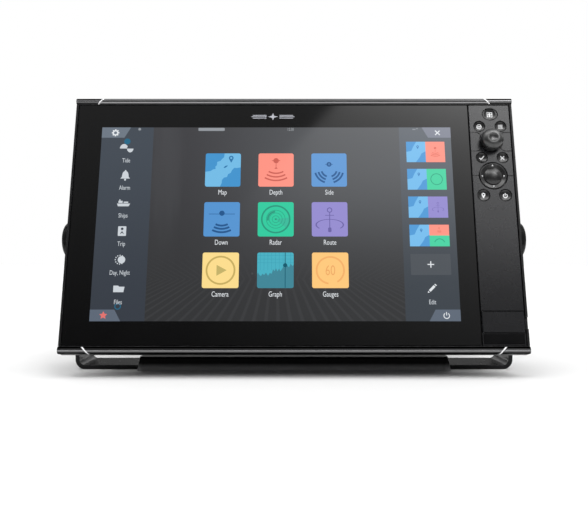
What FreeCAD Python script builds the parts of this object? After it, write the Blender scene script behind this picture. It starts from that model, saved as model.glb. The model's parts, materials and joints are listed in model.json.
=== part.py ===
import FreeCAD, Part
import math
import os

# A bracket-mounted marine chartplotter: a display head with a 15.6-inch picture, a keypad column on
# its right, and a U bracket with a moulded foot.  Millimetres, +Z up, the screen faces -Y.
# The origin is the centre of the deck-bolt pattern on the underside of the bracket.
# The display head is drawn upright in its own frame (x right, y back from the glass, z up along
# the glass, origin at the centre of its face) and then leaned back onto its pivot.

V = FreeCAD.Vector

# ---- driving dimensions ----
FACE_HALF_W = 217.0
FACE_HALF_H = 127.4
REST_LEAN = 14.5
FACE_CENTRE = V(0, -49.7, 146.9)

BEZEL_DEPTH = 12.0
STRIP_INNER_X = 214.9
POCKET_HALF_H = 120.4
POCKET_DEPTH = 3.0
BAR_INNER_Z = 121.0
BAR_BACK = 6.1
BAR_RADIUS = (FACE_HALF_H - BAR_INNER_Z) / 2
BAR_CENTRE_Y = 1.5
SLASH_INNER_X = 196.2
SLASH_SLOPE = 0.93
SLASH_HALF_W = 0.82

GLASS_X = (-213.7, 172.6)
FASCIA_X = (173.8, 213.7)
GLASS_HALF_H = 119.9
GLASS_THICK = 2.0

PICTURE_CENTRE_X = -17.5
PICTURE_CENTRE_Z = -0.7
CELL_HALF_W = 176.5
CELL_HALF_H = 102.0

# front and back of the layers behind the face
SENSOR_Y = (GLASS_THICK, 2.4)
CELL_Y = (3.2, 5.4)
TRAY_Y = (5.4, 10.6)
CHASSIS_Y = (BEZEL_DEPTH, 13.5)
MEMBRANE_Y = (5.0, 5.6)
KEY_BOARD_Y = (7.2, 8.4)
MAIN_BOARD_Y = (24.0, 25.6)
PROCESSOR_BACK = 28.4
PEDESTAL_FRONT = 30.0

HOUSING_HALF_W = 205.0
HOUSING_HALF_H = 112.0
HOUSING_BACK = 60.0
HOUSING_FRONT = 13.0
WALL = 3.0
FIN_BACK = 76.0
FIN_COUNT = 29
FIN_PITCH = 9.0
FIN_THICK = 2.6

KEY_GAP = 0.3
KEY_FRONT = 0.4
KEY_DISH = 1.1
KEY_FLANGE = 0.8
KNOB_X = 193.75
KNOB_Z = 81.0
KNOB_R = 10.7
PAD_X = 194.0
PAD_Z = 45.5
PAD_R = 13.2
PAD_HOLE_R = 14.2
PAD_PIVOT_Y = 3.4
DOOR_Z = (-107.8, -88.5)
DOOR_AXIS_X = 175.2
DOOR_AXIS_Y = 1.1
DOOR_GAP = 0.3
DOOR_RADIUS = 1.05
PIN_R = 0.5
GROOVE_DEPTH = 0.45
GROOVE_HALF_W = 0.22
GROOVE_BEND = 5.0
GROOVE_ENDS = (179.5, 208.0)

PIVOT_Y = 45.0
PIVOT_Z = -7.5
ARM_INNER_X = 213.2
PLATE = 4.3
STUD_R = 4.0
STUD_COLLAR_R = 8.0
STUD_COLLAR_X = (222.0, 226.0)
INSERT_R = 7.0
BOSS_R = 14.4
BOSS_OUTER_X = 210.0
ARM_HEAD_R = 24.0
BEND_R = 9.5
CLAMP_R = 19.6
CLAMP_INNER_X = 219.6
CLAMP_OUTER_X = 231.5

STRIP_Y = (-21.3, 30.5)
FOOT_HALF_W = 154.7
FOOT_HALF_D = 35.0
FOOT_H = 14.4
DECK_BOLT_X = 120.0
DECK_BOLT_Y = 13.0
DECK_BOLT_R = 2.8

# name: (x, z, half width, half height) of each key on the keypad
KEYS = {
    "key_pages": (194.7, 110.3, 7.1, 5.7),
    "key_wheel": (183.5, 97.4, 5.0, 5.0),
    "key_menu": (204.6, 97.4, 5.0, 5.0),
    "key_enter": (184.0, 64.4, 5.0, 5.0),
    "key_exit": (204.4, 64.4, 5.0, 5.0),
    "key_waypoint": (183.5, 25.6, 5.4, 5.4),
    "key_power": (204.6, 25.6, 5.4, 5.4),
}
POSTS = [(179.6, 84.0), (208.2, 78.5), (180.6, 112.6), (208.4, 112.6), (194.0, 15.5)]
CHASSIS_SCREW_X = (-160, -80, 0, 80, 150)
CHASSIS_SCREW_Z = 105.5
LUG_X = (-160, -80, 0, 80, 160)
LUG_Z = 114.5
LUG_BACK = 20.0
FLUSH_HOLE_X = 206.0
FLUSH_HOLE_Z = 124.1
FLUSH_HOLE_R = 2.0
SOCKET_Z = -80.0
VENT_X = 145.0
SQUARE = 0.01  # how near two coordinates count as the same


# ---- plain solids and helpers ----
def box(x, y, z):
    return Part.makeBox(x[1] - x[0], y[1] - y[0], z[1] - z[0], V(x[0], y[0], z[0]))


def depth_rod(x, z, radius, y):
    return Part.makeCylinder(radius, y[1] - y[0], V(x, y[0], z), V(0, 1, 0))


def cross_rod(y, z, radius, x):
    return Part.makeCylinder(radius, x[1] - x[0], V(x[0], y, z), V(1, 0, 0))


def upright_rod(x, y, radius, z):
    return Part.makeCylinder(radius, z[1] - z[0], V(x, y, z[0]), V(0, 0, 1))


def fuse(shapes):
    return shapes[0].multiFuse(shapes[1:]).removeSplitter()


def group(shapes):
    return Part.makeCompound(shapes)


def straight_edges(shape, direction):
    return [e for e in shape.Edges
            if isinstance(e.Curve, Part.Line) and abs(e.Curve.Direction.dot(direction)) > 0.999]


def rounded(shape, radius, direction):
    """Fillets every straight edge that runs along the direction."""
    return shape.makeFillet(radius, straight_edges(shape, direction))


def edges_at(shape, test):
    return [e for e in shape.Edges if all(test(v.Point) for v in e.Vertexes)]


def plate(x, y, z, radius):
    return rounded(box(x, y, z), radius, V(0, 1, 0))


def ring(x, z, width, y, radius):
    """A flat rectangular ring, such as a gasket, seen from the front."""
    outer = plate(x, y, z, radius)
    hole = box((x[0] + width, x[1] - width), (y[0] - 1, y[1] + 1), (z[0] + width, z[1] - width))
    return outer.cut(rounded(hole, max(radius - width, 0.5), V(0, 1, 0)))


def extrusion(points, move):
    return Part.Face(Part.makePolygon(points + [points[0]])).extrude(move)


def turned(edges, base, axis):
    """A full turn of a closed outline about an axis."""
    return Part.Face(Part.Wire(edges)).revolve(base, axis, 360)


def line(a, b):
    return Part.LineSegment(a, b).toShape()


def arc(a, through, b):
    return Part.Arc(a, through, b).toShape()


def mirrored_x(shape):
    return shape.mirror(V(0, 0, 0), V(1, 0, 0))


def export(name, shape):
    shape.exportStep("parts/%s.step" % name)


def lean(shape):
    """Moves a piece of the display head from its own upright frame to its place on the bracket."""
    placed = shape.copy()
    placed.rotate(V(0, 0, 0), V(1, 0, 0), -REST_LEAN)
    placed.translate(FACE_CENTRE)
    return placed


# ---- bezel, trims and glass ----
def bezel_frame():
    w, h = FACE_HALF_W, FACE_HALF_H
    block = box((-w, w), (0, BEZEL_DEPTH), (-h, h))
    front_sides = [e for e in straight_edges(block, V(0, 0, 1)) if e.CenterOfMass.y < SQUARE]
    block = block.makeChamfer(0.5, front_sides)
    body = rounded(block, 1.0, V(0, 1, 0))
    lip_z = POCKET_HALF_H + 0.5
    cuts = [box((-STRIP_INNER_X, STRIP_INNER_X), (-1, POCKET_DEPTH), (-POCKET_HALF_H, POCKET_HALF_H))]
    for side in (1, -1):
        z = sorted((side * lip_z, side * (h + 1)))
        cuts.append(box((-w - 1, w + 1), (-1, BAR_BACK + 0.1), z))
        for x in (-FLUSH_HOLE_X, FLUSH_HOLE_X):
            cuts.append(depth_rod(x, side * FLUSH_HOLE_Z, FLUSH_HOLE_R, (5, BEZEL_DEPTH + 1)))
        for x in CHASSIS_SCREW_X:
            cuts.append(depth_rod(x, side * CHASSIS_SCREW_Z, 1.3, (5.5, BEZEL_DEPTH + 1)))
        for x in LUG_X:
            cuts.append(depth_rod(x, side * LUG_Z, 1.5, (5.5, BEZEL_DEPTH + 1)))
    picture_bay = plate((-195, 160), (2, BEZEL_DEPTH + 1), (-103.5, 103.5), 3.0)
    keypad_bay = plate((176.4, 212.0), (2, 9.9), (-107, 117.8), 2.0)
    ribbon_slot = plate((178, 199.4), (9, BEZEL_DEPTH + 1), (-105, 100), 2.0)
    finger_notch = plate((212.4, w + 1), (-1, 2.4), (-104.7, -93.5), 0.8)
    cuts.extend([picture_bay, keypad_bay, ribbon_slot, finger_notch])
    return body.cut(group(cuts))


def bar(side):
    """The half-round bar along the top (side 1) or bottom (side -1) of the face."""
    centre_z = side * (BAR_INNER_Z + BAR_RADIUS)
    low, high = centre_z - BAR_RADIUS, centre_z + BAR_RADIUS
    x = -FACE_HALF_W
    wire = [
        arc(V(x, BAR_CENTRE_Y, low), V(x, BAR_CENTRE_Y - BAR_RADIUS, centre_z), V(x, BAR_CENTRE_Y, high)),
        line(V(x, BAR_CENTRE_Y, high), V(x, BAR_BACK, high)),
        line(V(x, BAR_BACK, high), V(x, BAR_BACK, low)),
        line(V(x, BAR_BACK, low), V(x, BAR_CENTRE_Y, low)),
    ]
    return Part.Face(Part.Wire(wire)).extrude(V(2 * FACE_HALF_W, 0, 0))


def slash_x(z):
    """How far out the slanted joint in a bar lies at a height above the face centre."""
    return SLASH_INNER_X - SLASH_SLOPE * (z - GLASS_HALF_H)


def slanted_block(side, left, right):
    """A block through a bar's height; left and right give each end's x from the height."""
    inner, outer = BAR_INNER_Z - 1, FACE_HALF_H + 1
    points = [V(left(inner), -6, side * inner), V(right(inner), -6, side * inner),
              V(right(outer), -6, side * outer), V(left(outer), -6, side * outer)]
    return extrusion(points, V(0, 20, 0))


def trim(side):
    inside = slanted_block(side, lambda z: SLASH_HALF_W - slash_x(z), lambda z: slash_x(z) - SLASH_HALF_W)
    return bar(side).common(inside)


def bar_ends(make):
    """One piece at each of the four corners; make(side) gives the one on the right."""
    pieces = []
    for side in (1, -1):
        right = make(side)
        pieces.extend([right, mirrored_x(right)])
    return group(pieces)


def corner_cap(side):
    outside = slanted_block(side, lambda z: slash_x(z) + SLASH_HALF_W, lambda z: FACE_HALF_W + 1)
    return bar(side).common(outside)


def corner_accent(side):
    band = slanted_block(side, lambda z: slash_x(z) - SLASH_HALF_W, lambda z: slash_x(z) + SLASH_HALF_W)
    return bar(side).common(band)


def cover_glass():
    sheet = plate(GLASS_X, (0, GLASS_THICK), (-GLASS_HALF_H, GLASS_HALF_H), 0.8)
    return sheet.makeChamfer(0.25, edges_at(sheet, lambda p: abs(p.y) < SQUARE))


def glass_gasket():
    edge = 0.5
    return ring((GLASS_X[0] + edge, GLASS_X[1] - edge), (edge - GLASS_HALF_H, GLASS_HALF_H - edge),
                5.0, (GLASS_THICK, POCKET_DEPTH), 1.0)


def picture_plate(y):
    x = (PICTURE_CENTRE_X - CELL_HALF_W, PICTURE_CENTRE_X + CELL_HALF_W)
    return plate(x, y, (PICTURE_CENTRE_Z - CELL_HALF_H, PICTURE_CENTRE_Z + CELL_HALF_H), 1.5)


def backlight_tray():
    tray = picture_plate(TRAY_Y)
    ribs = [box((x - 12, x + 12), (TRAY_Y[1] - 0.6, TRAY_Y[1] + 1), (-70, 70)) for x in (-150, -60, 30, 120)]
    return tray.cut(group(ribs))


def display_chassis():
    sheet = plate((-200, 174), CHASSIS_Y, (-107.5, 107.5), 11.0)
    holes = [depth_rod(x, side * CHASSIS_SCREW_Z, 1.5, (11, 15))
             for x in CHASSIS_SCREW_X for side in (1, -1)]
    holes.append(plate((115, 165), (11, 15), (-60, 20), 5.0))
    return sheet.cut(group(holes))


def screw(x, z, head_r, shank_r, head_y, tip_y):
    """A pan-head screw with a six-sided recess, driven from the back; head_y is the head's (front, back)."""
    head = depth_rod(x, z, head_r, head_y)
    head = head.makeFillet(0.4, edges_at(head, lambda p: abs(p.y - head_y[1]) < SQUARE))
    floor_y = sum(head_y) / 2
    turns = [math.radians(60 * i) for i in range(6)]
    corners = [V(x + head_r / 2 * math.cos(t), floor_y, z + head_r / 2 * math.sin(t)) for t in turns]
    head = head.cut(extrusion(corners, V(0, head_y[1] - head_y[0], 0)))
    return fuse([head, depth_rod(x, z, shank_r, (tip_y, head_y[0]))])


def chassis_screws():
    return group([screw(x, side * CHASSIS_SCREW_Z, 2.3, 1.25, (CHASSIS_Y[1], 15.0), 6.0)
                  for x in CHASSIS_SCREW_X for side in (1, -1)])


# ---- keypad column ----
def key_blank(name, y, grow):
    x, z, half_w, half_h = KEYS[name]
    if half_w == half_h:
        return depth_rod(x, z, half_w + grow, y)
    oval = Part.Ellipse(V(0, 0, 0), half_w + grow, half_h + grow).toShape()
    solid = Part.Face(Part.Wire([oval])).extrude(V(0, 0, y[1] - y[0]))
    solid.rotate(V(0, 0, 0), V(1, 0, 0), -90)
    solid.translate(V(x, y[0], z))
    return solid


def key(name):
    """A dished key cap with a flange that keeps it behind the fascia."""
    x, z, half_w, half_h = KEYS[name]
    dish_r = 2.4 * half_w
    cap = fuse([key_blank(name, (KEY_FRONT, 3.4), 0), key_blank(name, (3.3, 3.9), KEY_FLANGE)])
    reach = math.sqrt(dish_r ** 2 - min(half_w, half_h) ** 2)
    front = KEY_FRONT + KEY_DISH - (dish_r - reach)
    return cap.cut(Part.makeSphere(dish_r, V(x, front - reach, z)))


def groove_line(x, z):
    return box(x, (-1, GROOVE_DEPTH), (z - GROOVE_HALF_W, z + GROOVE_HALF_W))


def groove_arc(x, z, radius, right, up):
    """A quarter-round groove; right and up say which quadrant of the circle it keeps."""
    tube = depth_rod(x, z, radius + GROOVE_HALF_W, (-1, GROOVE_DEPTH))
    tube = tube.cut(depth_rod(x, z, radius - GROOVE_HALF_W, (-2, 1)))
    xs = sorted((x, x + right * 2 * radius))
    zs = sorted((z, z + up * 2 * radius))
    return tube.common(box(xs, (-2, 2), zs))


def keypad_grooves():
    """The thin grooves that split the column into fields and turn in round the knob."""
    left, right = GROOVE_ENDS
    outer_left, outer_right = FASCIA_X[0] - 1, FASCIA_X[1] + 1
    cuts = [groove_line((outer_left, left + 1), PAD_Z), groove_line((right - 0.5, outer_right), PAD_Z)]
    for z, bend in ((90.8, -1), (71.2, 1)):
        cuts.append(groove_line((outer_left, left), z))
        cuts.append(groove_line((right, outer_right), z))
        cuts.append(groove_arc(left, z + bend * GROOVE_BEND, GROOVE_BEND, 1, -bend))
        cuts.append(groove_arc(right, z + bend * GROOVE_BEND, GROOVE_BEND, -1, -bend))
    return cuts


def door_recess():
    """The shelf that the card door closes on, its card opening, hinge pin holes and the low sill."""
    across = (FASCIA_X[0] - 1, FASCIA_X[1] + 1)
    low, high = DOOR_Z[0] - DOOR_GAP, DOOR_Z[1] + DOOR_GAP
    cuts = [box(across, (-1, SENSOR_Y[1]), (low, high)),
            plate((181, 201), (1, 4), (-104.5, -91.5), 1.0),
            box(across, (-1, 0.35), (-GLASS_HALF_H - 1, low))]
    for z in ((DOOR_Z[1] + 0.2, DOOR_Z[1] + 2.7), (DOOR_Z[0] - 2.7, DOOR_Z[0] - 0.2)):
        cuts.append(upright_rod(DOOR_AXIS_X, DOOR_AXIS_Y, PIN_R, z))
    return cuts


def keypad_fascia():
    body = plate(FASCIA_X, (0, POCKET_DEPTH), (-GLASS_HALF_H, GLASS_HALF_H), 0.8)
    body = body.makeChamfer(0.3, edges_at(body, lambda p: abs(p.y) < SQUARE))
    posts = [depth_rod(x, z, 2.1, (POCKET_DEPTH - 0.5, KEY_BOARD_Y[0])) for x, z in POSTS]
    through = (-1, POCKET_DEPTH + 1)
    body = fuse([body] + posts)
    cuts = keypad_grooves() + door_recess()
    for name in KEYS:
        cuts.append(key_blank(name, through, KEY_GAP))
        cuts.append(key_blank(name, (-0.5, 0.5), KEY_GAP + 0.5))
    cuts.append(depth_rod(PAD_X, PAD_Z, PAD_HOLE_R, through))
    dish = Part.makeCone(KNOB_R + 1.1, KNOB_R + 0.7, 1.5, V(KNOB_X, 0, KNOB_Z), V(0, 1, 0))
    cuts.extend([dish, depth_rod(KNOB_X, KNOB_Z, 3.7, through)])
    cuts.extend([depth_rod(x, 11.5, 0.45, (-1, 4)) for x in (186.8, 193.9, 200.6)])
    cuts.extend([depth_rod(x, z, 0.95, (4.6, 8)) for x, z in POSTS])
    return body.cut(group(cuts))


def key_membrane():
    sheet = box((177, 211.2), MEMBRANE_Y, (12, 117))
    cuts = [depth_rod(PAD_X, PAD_Z, 17.6, (4, 7)), box((186.4, 201.1), (4, 7), (73.6, 88.4))]
    cuts.extend([depth_rod(x, z, 2.5, (4, 7)) for x, z in POSTS])
    return sheet.cut(group(cuts))


def key_switches():
    back = KEY_BOARD_Y[0]
    cans = [box((x - 2.5, x + 2.5), (back - 1.3, back), (z - 2.5, z + 2.5)) for x, z, _, _ in KEYS.values()]
    for dx, dz in ((10.5, 0), (-10.5, 0), (0, 10.5), (0, -10.5)):
        x, z = PAD_X + dx, PAD_Z + dz
        cans.append(box((x - 1.8, x + 1.8), (back - 1.1, back), (z - 1.8, z + 1.8)))
    return group(cans)


def pad_yoke():
    post_hole = cross_rod(PAD_PIVOT_Y, PAD_Z, 0.66, (PAD_X - 8, PAD_X + 8))
    base = depth_rod(PAD_X, PAD_Z, 6.4, (6.2, KEY_BOARD_Y[0]))
    posts = [box(sorted((PAD_X + s * 3.8, PAD_X + s * 5.2)), (2.5, 6.4), (PAD_Z - 1.3, PAD_Z + 1.3))
             for s in (1, -1)]
    return fuse([base] + posts).cut(post_hole)


def pad_pivot():
    return fuse([depth_rod(PAD_X, PAD_Z, 1.7, (PAD_PIVOT_Y - 0.8, PAD_PIVOT_Y + 0.8)),
                 cross_rod(PAD_PIVOT_Y, PAD_Z, 0.6, (PAD_X - 5.4, PAD_X + 5.4)),
                 upright_rod(PAD_X, PAD_PIVOT_Y, 0.6, (PAD_Z - 7.4, PAD_Z + 7.4))])


def arrow_pad():
    """A rocking ring with a domed centre, turned about its own axis."""
    def at(radius, y):
        return V(PAD_X + radius, y, PAD_Z)
    outline = [
        arc(at(0, -1.9), at(4.6, -1.35), at(8.5, 0.4)),
        line(at(8.5, 0.4), at(8.9, 1.3)),
        line(at(8.9, 1.3), at(12.2, 0.1)),
        arc(at(12.2, 0.1), at(12.95, 0.2), at(PAD_R, 0.7)),
        line(at(PAD_R, 0.7), at(PAD_R, 4.1)),
        line(at(PAD_R, 4.1), at(15.0, 4.1)),
        line(at(15.0, 4.1), at(15.0, 4.6)),
        line(at(15.0, 4.6), at(6.2, 4.6)),
        line(at(6.2, 4.6), at(6.2, 1.7)),
        line(at(6.2, 1.7), at(0, 1.7)),
        line(at(0, 1.7), at(0, -1.9)),
    ]
    body = turned(outline, V(PAD_X, 0, PAD_Z), V(0, 1, 0))
    return body.cut(upright_rod(PAD_X, PAD_PIVOT_Y, 0.66, (PAD_Z - 7.7, PAD_Z + 7.7)))


def keypad_board():
    board = plate((177, 211.2), KEY_BOARD_Y, (0, 117.2), 1.5)
    return board.cut(group([depth_rod(x, z, 1.1, (6, 10)) for x, z in POSTS]))


def keypad_screws():
    return group([screw(x, z, 1.9, 0.9, (KEY_BOARD_Y[1], 9.6), 4.8) for x, z in POSTS])


def encoder_body():
    half = 6.5
    can = plate((KNOB_X - half, KNOB_X + half), (3.2, KEY_BOARD_Y[0]), (KNOB_Z - half, KNOB_Z + half), 0.8)
    neck = depth_rod(KNOB_X, KNOB_Z, 3.5, (1.3, 3.4))
    return fuse([can, neck]).cut(group([depth_rod(KNOB_X, KNOB_Z, 2.55, (0, 5.4)),
                                        depth_rod(KNOB_X, KNOB_Z, 4.6, (5.2, 6.9))]))


def encoder_plunger():
    return depth_rod(KNOB_X, KNOB_Z, 4.2, (5.5, 6.1))


def encoder_shaft():
    shaft = depth_rod(KNOB_X, KNOB_Z, 2.5, (-9.0, 5.4))
    return shaft.cut(box((KNOB_X + 1.6, KNOB_X + 4), (-10, 0), (KNOB_Z - 4, KNOB_Z + 4)))


def rotary_knob():
    """A barrel knob with a rounded crown and a finger dimple."""
    def at(radius, y):
        return V(KNOB_X + radius, y, KNOB_Z)
    r = KNOB_R
    outline = [
        arc(at(0, -10.6), at(2.6, -10.95), at(4.6, -12.0)),
        arc(at(4.6, -12.0), at(r - 2.3, -10.9), at(r - 0.4, -8.4)),
        arc(at(r - 0.4, -8.4), at(r, -5.6), at(r - 0.9, 0.5)),
        line(at(r - 0.9, 0.5), at(8.4, 0.5)),
        line(at(8.4, 0.5), at(8.4, -6.0)),
        line(at(8.4, -6.0), at(5.0, -6.0)),
        line(at(5.0, -6.0), at(5.0, 0.2)),
        line(at(5.0, 0.2), at(0, 0.2)),
        line(at(0, 0.2), at(0, -10.6)),
    ]
    body = turned(outline, V(KNOB_X, 0, KNOB_Z), V(0, 1, 0))
    bore = depth_rod(KNOB_X, KNOB_Z, 2.55, (-9.1, 1))
    return body.cut(bore.cut(box((KNOB_X + 1.65, KNOB_X + 4), (-10, 0), (KNOB_Z - 4, KNOB_Z + 4))))


def card_door():
    """The memory card door, with a round hinge edge on its left."""
    depth = (DOOR_AXIS_Y - DOOR_RADIUS, DOOR_AXIS_Y + DOOR_RADIUS)
    slab = box((DOOR_AXIS_X, FASCIA_X[1] - 0.2), depth, DOOR_Z)
    slab = slab.makeChamfer(0.3, edges_at(slab, lambda p: p.x > FASCIA_X[0] + 5))
    door = fuse([slab, upright_rod(DOOR_AXIS_X, DOOR_AXIS_Y, DOOR_RADIUS, DOOR_Z)])
    bores = [upright_rod(DOOR_AXIS_X, DOOR_AXIS_Y, PIN_R + 0.05, z)
             for z in ((DOOR_Z[0] - 1, DOOR_Z[0] + 3.1), (DOOR_Z[1] - 3.1, DOOR_Z[1] + 1))]
    return door.cut(group(bores))


def door_hinge_pins():
    return group([upright_rod(DOOR_AXIS_X, DOOR_AXIS_Y, PIN_R, z)
                  for z in ((DOOR_Z[1] - 3.0, DOOR_Z[1] + 2.6), (DOOR_Z[0] - 2.6, DOOR_Z[0] + 3.0))])


def card_reader():
    body = box((183.5, 198.5), (3.2, 21.0), (-104.0, -92.0))
    slots = [box((185.3, 196.7), (2, 19.0), (z - 0.6, z + 0.6)) for z in (-95.4, -100.6)]
    return body.cut(group(slots))


# ---- inside the rear cover ----
def main_board():
    board = plate((-155, 112), MAIN_BOARD_Y, (-92, 88), 3.0)
    return board.cut(group([depth_rod(x, z, 1.7, (23, 27)) for x, z in board_posts()]))


def board_posts():
    return [(x, z) for x in (-148, -20, 105) for z in (-60, 81)]


def board_fixings():
    pieces = []
    for x, z in board_posts():
        post = depth_rod(x, z, 3.0, (CHASSIS_Y[1], MAIN_BOARD_Y[0])).cut(depth_rod(x, z, 1.45, (17, 25)))
        pieces.extend([post, screw(x, z, 2.8, 1.4, (MAIN_BOARD_Y[1], 27.4), 17.5)])
    return group(pieces)


def board_components():
    back = MAIN_BOARD_Y[1]
    processor = plate((-62, -22), (back, PROCESSOR_BACK), (8, 48), 1.5)
    memory = [box((x - 6, x + 6), (back, 27.0), (z - 5, z + 5)) for x in (-8, 8) for z in (16, 30, 44)]
    coils = [plate((x - 6, x + 6), (back, 32.6), (z - 6, z + 6), 1.0)
             for x in (-135, -118, -101) for z in (-38, -20)]
    capacitors = [depth_rod(x, -2, 5.0, (back, 37.0)) for x in (-138, -124, -110)]
    headers = [box((x - 8, x + 8), (back, 31.0), (-92, -84)) for x in (-55, -20, 15, 55, 90)]
    radio = box((50, 78), (back, 27.4), (20, 48))
    ribbon_socket = box((60, 100), (back, 31.5), (60, 72))
    return group([processor, radio, ribbon_socket] + memory + coils + capacitors + headers)


def thermal_pad():
    return box((-60, -24), (PROCESSOR_BACK, PEDESTAL_FRONT), (10, 46))


def gps_antenna():
    board = plate((128, 168), (CHASSIS_Y[1], 15.1), (56, 96), 2.0)
    return fuse([board, plate((135.5, 160.5), (15.0, 21.0), (63.5, 88.5), 1.0)])


SOCKETS = {
    "power_socket": ((-140,), 11.0, 8.5),
    "bus_socket": ((-100,), 8.0, 6.0),
    "network_sockets": ((-58, -22), 10.0, 7.5),
    "sonar_sockets": ((18, 58), 11.0, 8.5),
    "video_socket": ((98,), 9.5, 7.0),
}


def socket(x, flange_r, collar_r):
    """A panel socket: rear barrel, outside flange, collar, and contact pins in a round well."""
    back = HOUSING_BACK
    z = SOCKET_Z
    body = fuse([depth_rod(x, z, collar_r - 0.2, (40, back + 0.5)),
                 depth_rod(x, z, flange_r, (back, back + 2.5)),
                 depth_rod(x, z, collar_r, (back + 2, back + 13))])
    well = depth_rod(x, z, collar_r - 1.6, (back + 3, back + 14))
    ridges = [depth_rod(x, z, collar_r + 0.5, (y, y + 1.0)) for y in (back + 5, back + 7.5, back + 10)]
    reach = 0.45 * (collar_r - 1.6)
    pins = [depth_rod(x + reach * math.cos(a), z + reach * math.sin(a), 0.8, (back + 2, back + 9))
            for a in (math.radians(45 + 90 * i) for i in range(4))]
    body = fuse([body] + ridges).cut(well)
    return fuse([body] + pins)


def sockets(name):
    centres, flange_r, collar_r = SOCKETS[name]
    return group([socket(x, flange_r, collar_r) for x in centres])


def fin(x):
    """One cooling fin, with its outer corners cut back."""
    root = HOUSING_BACK - 1
    points = [V(x - FIN_THICK / 2, root, -26), V(x - FIN_THICK / 2, FIN_BACK - 8, -20),
              V(x - FIN_THICK / 2, FIN_BACK, -10), V(x - FIN_THICK / 2, FIN_BACK, 88),
              V(x - FIN_THICK / 2, FIN_BACK - 5, 98), V(x - FIN_THICK / 2, root, 102)]
    return extrusion(points, V(FIN_THICK, 0, 0))


def rear_cover():
    w, h, back = HOUSING_HALF_W, HOUSING_HALF_H, HOUSING_BACK
    shell = plate((-w, w), (HOUSING_FRONT, back), (-h, h), 14.0)
    shell = shell.makeFillet(7.0, edges_at(shell, lambda p: abs(p.y - back) < SQUARE))
    boss = fuse([cross_rod(PIVOT_Y, PIVOT_Z, BOSS_R, (195, BOSS_OUTER_X)),
                 Part.makeCone(19.0, BOSS_R, 3.0, V(204, PIVOT_Y, PIVOT_Z), V(1, 0, 0))])
    lug_y = (HOUSING_FRONT, LUG_BACK)
    lug = fuse([depth_rod(0, LUG_Z, 4.5, lug_y), box((-4.5, 4.5), lug_y, (h - 2, LUG_Z))])
    lugs = []
    for x in LUG_X:
        upper = lug.copy()
        upper.translate(V(x, 0, 0))
        lugs.extend([upper, upper.mirror(V(0, 0, 0), V(0, 0, 1))])
    fins = [fin((i - (FIN_COUNT - 1) / 2) * FIN_PITCH) for i in range(FIN_COUNT)]
    cavity = plate((-w + WALL, w - WALL), (HOUSING_FRONT - 1, back - WALL), (-h + WALL, h - WALL), 11.0)
    shell = shell.cut(cavity)
    pedestal = box((-62, -22), (PEDESTAL_FRONT, back - 1), (8, 48))
    shell = fuse([shell, boss, mirrored_x(boss), pedestal] + lugs + fins)
    insert_bore = cross_rod(PIVOT_Y, PIVOT_Z, INSERT_R + 0.05, (190, BOSS_OUTER_X + 2))
    cuts = [insert_bore, mirrored_x(insert_bore)]
    cuts.extend([depth_rod(x, side * LUG_Z, 1.7, (12, 21)) for x in LUG_X for side in (1, -1)])
    for centres, flange_r, collar_r in SOCKETS.values():
        cuts.extend([depth_rod(x, SOCKET_Z, collar_r, (back - 6, back + 1)) for x in centres])
    cuts.append(depth_rod(VENT_X, SOCKET_Z, 6.1, (back - 6, back + 1)))
    return shell.cut(group(cuts))


def rear_gasket():
    w, h = HOUSING_HALF_W - 0.4, HOUSING_HALF_H - 0.4
    return ring((-w, w), (-h, h), 2.3, (BEZEL_DEPTH, HOUSING_FRONT), 13.5)


def rear_cover_screws():
    return group([screw(x, side * LUG_Z, 2.4, 1.4, (LUG_BACK, LUG_BACK + 2), 6.5)
                  for x in LUG_X for side in (1, -1)])


def vent_plug():
    back = HOUSING_BACK
    cap_back = back + 3.0
    cap = depth_rod(VENT_X, SOCKET_Z, 8.5, (back, cap_back))
    cap = cap.makeFillet(1.0, edges_at(cap, lambda p: abs(p.y - cap_back) < SQUARE))
    slots = [box((VENT_X - 5, VENT_X + 5), (cap_back - 1, cap_back + 1), (z - 0.5, z + 0.5))
             for z in (SOCKET_Z - 3, SOCKET_Z, SOCKET_Z + 3)]
    return fuse([cap, depth_rod(VENT_X, SOCKET_Z, 6.0, (back - 8, back + 0.5))]).cut(group(slots))


# ---- clamps at the two sides ----
def both_sides(right):
    return group([right, mirrored_x(right)])


def pivot_tube(outer_r, inner_r, x):
    tube = cross_rod(PIVOT_Y, PIVOT_Z, outer_r, x)
    return tube.cut(cross_rod(PIVOT_Y, PIVOT_Z, inner_r, (x[0] - 1, x[1] + 1)))


def clamp_stud():
    tip_x = 197.5
    tip = Part.makeCone(STUD_R - 1, STUD_R, 1.0, V(tip_x, PIVOT_Y, PIVOT_Z), V(1, 0, 0))
    shank = cross_rod(PIVOT_Y, PIVOT_Z, STUD_R, (tip_x + 1, STUD_COLLAR_X[1] - 2))
    return fuse([tip, shank, cross_rod(PIVOT_Y, PIVOT_Z, STUD_COLLAR_R, STUD_COLLAR_X)])


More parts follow.
